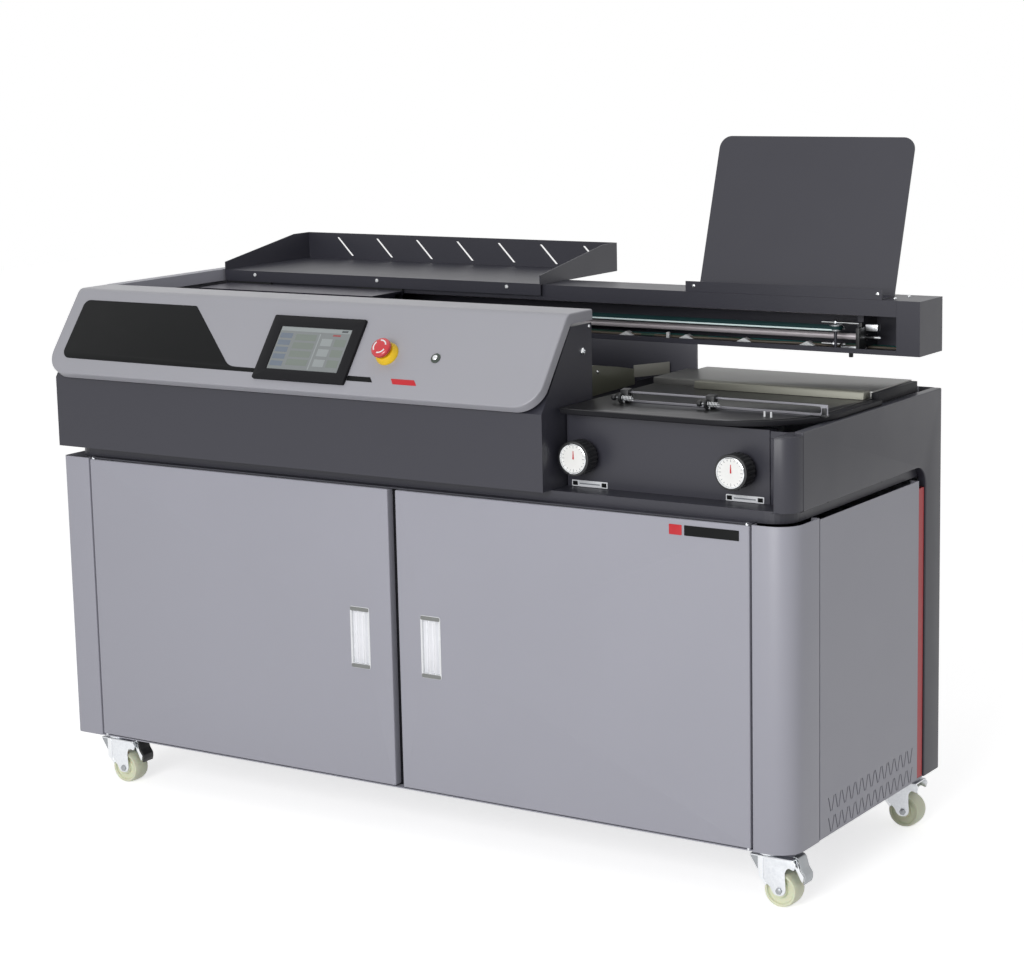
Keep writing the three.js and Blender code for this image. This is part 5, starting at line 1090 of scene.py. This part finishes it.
class BINDER_OT_beam(Operator):
    """Inside of the beam: cables on its floor with clips, a painted highlight line on the belt's lower edge, and the
    idler's end fittings
    """
    bl_idname = "binder.beam"
    bl_label = "Beam fittings"

    def execute(self, context):
        radius = context.scene.binder_sizes.cable * 1000
        x = np.linspace(-792.0, 770.0, 157)
        for name, middle, swing, length, finish_name in (
            ("cable_teal_run", 590.0, 5.0, 210.0, "cable_teal"),
                                                         ("cable_green_run", 580.0, 7.0, 290.0, "cable_green"),
            ("cable_brown_run", 570.0, 4.0, 170.0, "cable_brown"),
        ):
            y = middle + swing * np.sin(2 * math.pi * x / length)
            path = np.column_stack([x, y, np.full_like(x, 908.4 + radius)])
            piece(name, [(tube(path, radius, 10), finish_name)], "cabinet", (), 60)
        clips = []
        for at in (153.0, 288.0, 415.0, 549.0):
            wedge = rounded([(at, 908.2, 0.4), (at + 34, 908.2, 0.4), (at + 17, 916.4, 0.8)], 3)
            clips.append((bar_y(wedge, 562.0, 578.0, 0.4), "cable_white"))
        clips.append((box((265, 271), (556, 562), (907.5, 920), 0.8), "cable_white"))
        piece("cable_clips", clips, "cabinet")
        # A thin bright strip on the belt's lower edge: a painted highlight
        piece("belt_line", [(box((-740, 640), (518.4, 520.2), (944.8, 947.8), 0.4), "cable_cyan")], "cabinet")
        arm = rounded([(641, 951, 1), (652, 944.6, 1), (653, 948.6, 1), (641, 956.6, 1)], 2)
        fittings = [(bar_y(arm, 545.5, 551, 0.4), "chrome"),
                    (box((698, 724), (539, 552), (945, 958), 2.0), "zinc_steel"),
                    (turned([(0, 894), (3.6, 894), (4.2, 895), (4.2, 907), (0, 907)], (667, 545, 0), "z", 16),
                     "black_plastic"),
                    (box((690.6, 698), (514.5, 544), (912, 953), 1.0), "black_plastic"),
                    (turned([(0, 692), (3.4, 692), (4, 693), (4, 727), (3.2, 728), (0, 728)], (0, 545, 932.6), "x",
                            20), "chrome"),
                    (turned([(0, 607), (2.6, 607.3), (2.6, 688), (0, 688)], (0, 545, 957.6), "x", 16), "chrome"),
                    (turned([(0, 634), (6, 634.4), (6.4, 635.4), (6.4, 637.6), (6, 638.6), (0, 639)], (0, 545, 957.6),
                            "x", 24), "zinc_steel"),
                    (turned([(0, 607), (2.4, 607.3), (2.4, 656), (0, 656)], (0, 545, 917.4), "x", 16), "chrome"),
                    (turned([(0, 630), (5, 630.4), (5.4, 631.2), (5.4, 633.4), (5, 634.2), (0, 634.6)],
                            (0, 545, 917.4), "x", 24), "zinc_steel"),
                    (box((684, 690.8), (541, 549), (911, 960), 0.8), "black_plastic"),
                    (box((640, 692), (556, 562), (905.5, 912.6), 0.8), "zinc_steel")]
        piece("idler_fittings", fittings, "cabinet")
        lower = rounded([(262, 702), (508, 702), (508, 838, 2), (262, 838, 2)], 3)
        upper = rounded([(262, 830.5, 2), (437, 832.5, 2), (437, 862.5, 2), (384, 872.7, 4), (290, 888, 6),
                         (262, 884, 8)], 5)
        wing = rounded([(262, 434, 0.8), (300, 506, 0.8), (301.8, 505, 0.8), (263.8, 433, 0.8)], 3)
        # Lower plate: painted shade. Upper plate: the hood's tone with painted reflection. Wing: a painted highlight.
        hood = [(bar_x(lower, 259.6, 261.4, 0.5), "inner_dark"), (bar_x(upper, 260.4, 263.4, 0.8), "hood_paint"),
                (bar_z(wing, 846.5, 870, 0.6), "hood_light"),
                (turned([(0, 263.2), (3.6, 263.3), (3.2, 264.4), (2.2, 265), (0, 265.2)], (0, 300, 874), "x", 20),
                 "chrome"),
                (turned([(0, 263.2), (3.4, 263.3), (3.0, 264.4), (2.0, 265), (0, 265.2)], (0, 470, 850), "x", 20),
                 "chrome")]
        piece("glue_shield", hood, "cabinet")
        return {"FINISHED"}


# ---- Screws ----

class BINDER_OT_screws(Operator):
    """Screw heads on the housing, the console, the beam end, the tray lip and the stand"""
    bl_idname = "binder.screws"
    bl_label = "Screws"

    def execute(self, context):
        size = context.scene.binder_sizes.screw * 1000

        def head(centre, axis, side, radius=1.0, sides=24):
            r = size * radius
            base = centre["xyz".index(axis)]
            rows = [(0, base - 0.2 * side), (r, base - 0.2 * side), (r, base + 0.25 * r * side),
                    (0.82 * r, base + 0.5 * r * side),
                    (0.5 * r, base + 0.6 * r * side), (0.42 * r, base + 0.3 * r * side), (0, base + 0.3 * r * side)]
            centre = [0.0 if "xyz"[i] == axis else centre[i] for i in range(3)]
            return turned(rows, centre, axis, sides)

        groups = (
            ("screws_shell", "black_plastic", "black_plastic", [((812, y, 702), "z", -1.0, 1.1) for y in (149, 364)]),
            ("screws_console", "chrome", "ground_steel",
             [((334, 155.6, 979.8), "x", 1.0, 0.8), ((334, 132.6, 937), "x", 1.0, 1.6)]),
            ("screws_beam_end", "chrome", "ground_steel",
             [((713, 584.6, 1007), "z", 1.0, 0.9), ((756.6, 542.7, 1007), "z", 1.0, 0.9),
              ((765.8, 584, 1007), "z", 1.0, 0.9)]),
            ("screws_tray_lip", "white_plastic", "white_plastic",
             [((at, 503, 1001), "y", -1.0, 0.9) for at in (-713, -391, -70)]),
            ("screws_brackets", "white_plastic", "white_plastic",
             [((at + step, 505.2, 978), "y", -1.0, 0.75) for at in (-790, -446) for step in (14, 102)]),
            ("screws_stand", "chrome", "ground_steel", [((at, 512, 1018), "y", -1.0, 0.8) for at in (352, 736)]),
        )
        for name, finish_name, slot, places in groups:
            piece(name, [(head(*place), finish_name) for place in places], "cabinet")
        return {"FINISHED"}


# ---- Frame nodes that keep their mesh ----

KEPT = {
    "light_grey_paint": ["right_side_panel", "back_panel", "left_upper_cover", "base_frame"],
    "dark_grey_paint": ["top_deck", "console_body", "knob_panel", "beam_channel", "beam_end_box",
                        "delivery_tray", "document_stand"],
    "red_paint": ["accent_strip"],
    "black_plastic": ["power_inlet", "tray_bracket_left", "tray_bracket_right"],
    "enamelled_iron": ["carriage_motor", "milling_motor"],
    "ground_steel": ["glue_roller"],
    "rod_steel": ["guide_rod_lower", "guide_rod_upper"],
    "dark_steel": ["fixed_jaw", "moving_jaw", "clamp_carriage"],
    "turned_steel": ["milling_cutter"],
    "cast_aluminium": ["glue_tank", "drive_pulley", "idler_pulley"],
    "belt_rubber": ["drive_belt"],
}


class BINDER_OT_kept(Operator):
    """Finishes for the frame's own pieces that keep their shape"""
    bl_idname = "binder.kept"
    bl_label = "Finish the frame"

    def execute(self, context):
        for name, nodes in KEPT.items():
            for node in nodes:
                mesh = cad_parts[node].data
                mesh.materials.clear()
                mesh.materials.append(FINISHES[name]())
        return {"FINISHED"}


# ---- Stage ----

class BINDER_OT_stage(Operator):
    """Pale floor, soft light and the camera at the photograph's angle"""
    bl_idname = "binder.stage"
    bl_label = "Stage"

    def execute(self, context):
        scene = context.scene
        scene.view_settings.view_transform = "Standard"
        half = 9000.0
        u = np.linspace(-half, half, 3)
        a, b = np.meshgrid(u, u, indexing="ij")
        points = np.stack([a, b, np.zeros_like(a)], -1).reshape(-1, 3)
        mesh = bpy.data.meshes.new("floor")
        mesh.from_pydata((points * MM).tolist(), [], grid(3, 3, False)[:, ::-1].tolist())
        mesh.materials.append(FINISHES["stage_white"]())
        floor = bpy.data.objects.new("floor", mesh)
        scene.collection.objects.link(floor)

        world = bpy.data.worlds.new("studio")
        scene.world = world
        world.use_nodes = True
        tree = world.node_tree
        soft = tree.nodes["Background"]
        soft.inputs["Color"].default_value = (1.0, 1.0, 1.0, 1.0)
        soft.inputs["Strength"].default_value = 0.4
        white = tree.nodes.new("ShaderNodeBackground")
        white.inputs["Color"].default_value = (1.0, 1.0, 1.0, 1.0)
        white.inputs["Strength"].default_value = 1.0
        path = tree.nodes.new("ShaderNodeLightPath")
        mix = tree.nodes.new("ShaderNodeMixShader")
        tree.links.new(seen_directly(tree, path), mix.inputs["Fac"])
        tree.links.new(soft.outputs["Background"], mix.inputs[1])
        tree.links.new(white.outputs["Background"], mix.inputs[2])
        tree.links.new(mix.outputs["Shader"], tree.nodes["World Output"].inputs["Surface"])

        def lamp(name, place, target, size, power):
            data = bpy.data.lights.new(name, "AREA")
            data.shape = "RECTANGLE"
            data.size, data.size_y = size
            data.energy = power
            made = bpy.data.objects.new(name, data)
            scene.collection.objects.link(made)
            aim = Vector(target) - Vector(place)
            made.matrix_world = Matrix.Translation(Vector(place)) @ aim.to_track_quat("-Z", "Y").to_matrix().to_4x4()

        lamp("key", (0.9, -4.9, 2.2), (0.1, 0, 0.6), (2.6, 2.2), 140.0)
        lamp("top", (0.1, -0.4, 3.6), (0, 0, 0.6), (3.0, 2.2), 9.0)

        # Solved from the cabinet's edges in the photograph
        eye = np.array([2709.9, -3713.0, 1528.9])
        yaw, pitch, roll = 0.5825, 0.1798, -0.0219
        forward = Vector((-math.sin(yaw) * math.cos(pitch), math.cos(yaw) * math.cos(pitch), -math.sin(pitch)))
        right = Vector((math.cos(yaw), math.sin(yaw), 0.0))
        up = right.cross(forward)
        across_view = math.cos(roll) * right + math.sin(roll) * up
        up_view = -math.sin(roll) * right + math.cos(roll) * up
        place = Vector(eye * MM + ORIGIN)
        data = bpy.data.cameras.new("view")
        data.sensor_fit = "HORIZONTAL"
        data.sensor_width = 36.0
        data.lens = 89.045
        data.clip_end = 50.0
        camera = bpy.data.objects.new("view", data)
        scene.collection.objects.link(camera)
        turn = Matrix((across_view, up_view, -forward)).transposed().to_4x4()
        camera.matrix_world = Matrix.Translation(place) @ turn
        scene.camera = camera
        return {"FINISHED"}


STEPS = [
    BINDER_OT_kept, BINDER_OT_cabinet, BINDER_OT_pulls, BINDER_OT_fascia, BINDER_OT_screen, BINDER_OT_buttons,
    BINDER_OT_housing, BINDER_OT_dials, BINDER_OT_casters, BINDER_OT_table, BINDER_OT_beam, BINDER_OT_screws,
    BINDER_OT_stage,
]


class BINDER_PT_panel(Panel):
    """Lists the sizes, the colours and the steps"""
    bl_idname = "BINDER_PT_panel"
    bl_label = "Binding machine"
    bl_space_type = "VIEW_3D"
    bl_region_type = "UI"
    bl_category = "Binder"

    def draw(self, context):
        for group in (context.scene.binder_sizes, context.scene.binder_colours):
            for name in group.bl_rna.properties.keys():
                if name not in ("rna_type", "name"):
                    self.layout.prop(group, name)
        for step in STEPS:
            self.layout.operator(step.bl_idname)


CLASSES = [BinderSizes, BinderColours, *STEPS, BINDER_PT_panel]


def register():
    for cls in CLASSES:
        bpy.utils.register_class(cls)
    bpy.types.Scene.binder_sizes = PointerProperty(type=BinderSizes)
    bpy.types.Scene.binder_colours = PointerProperty(type=BinderColours)


def unregister():
    del bpy.types.Scene.binder_colours
    del bpy.types.Scene.binder_sizes
    for cls in reversed(CLASSES):
        bpy.utils.unregister_class(cls)


def main():
    register()
    for step in STEPS:
        group, name = step.bl_idname.split(".")
        getattr(getattr(bpy.ops, group), name)()


if __name__ == "__main__":
    main()
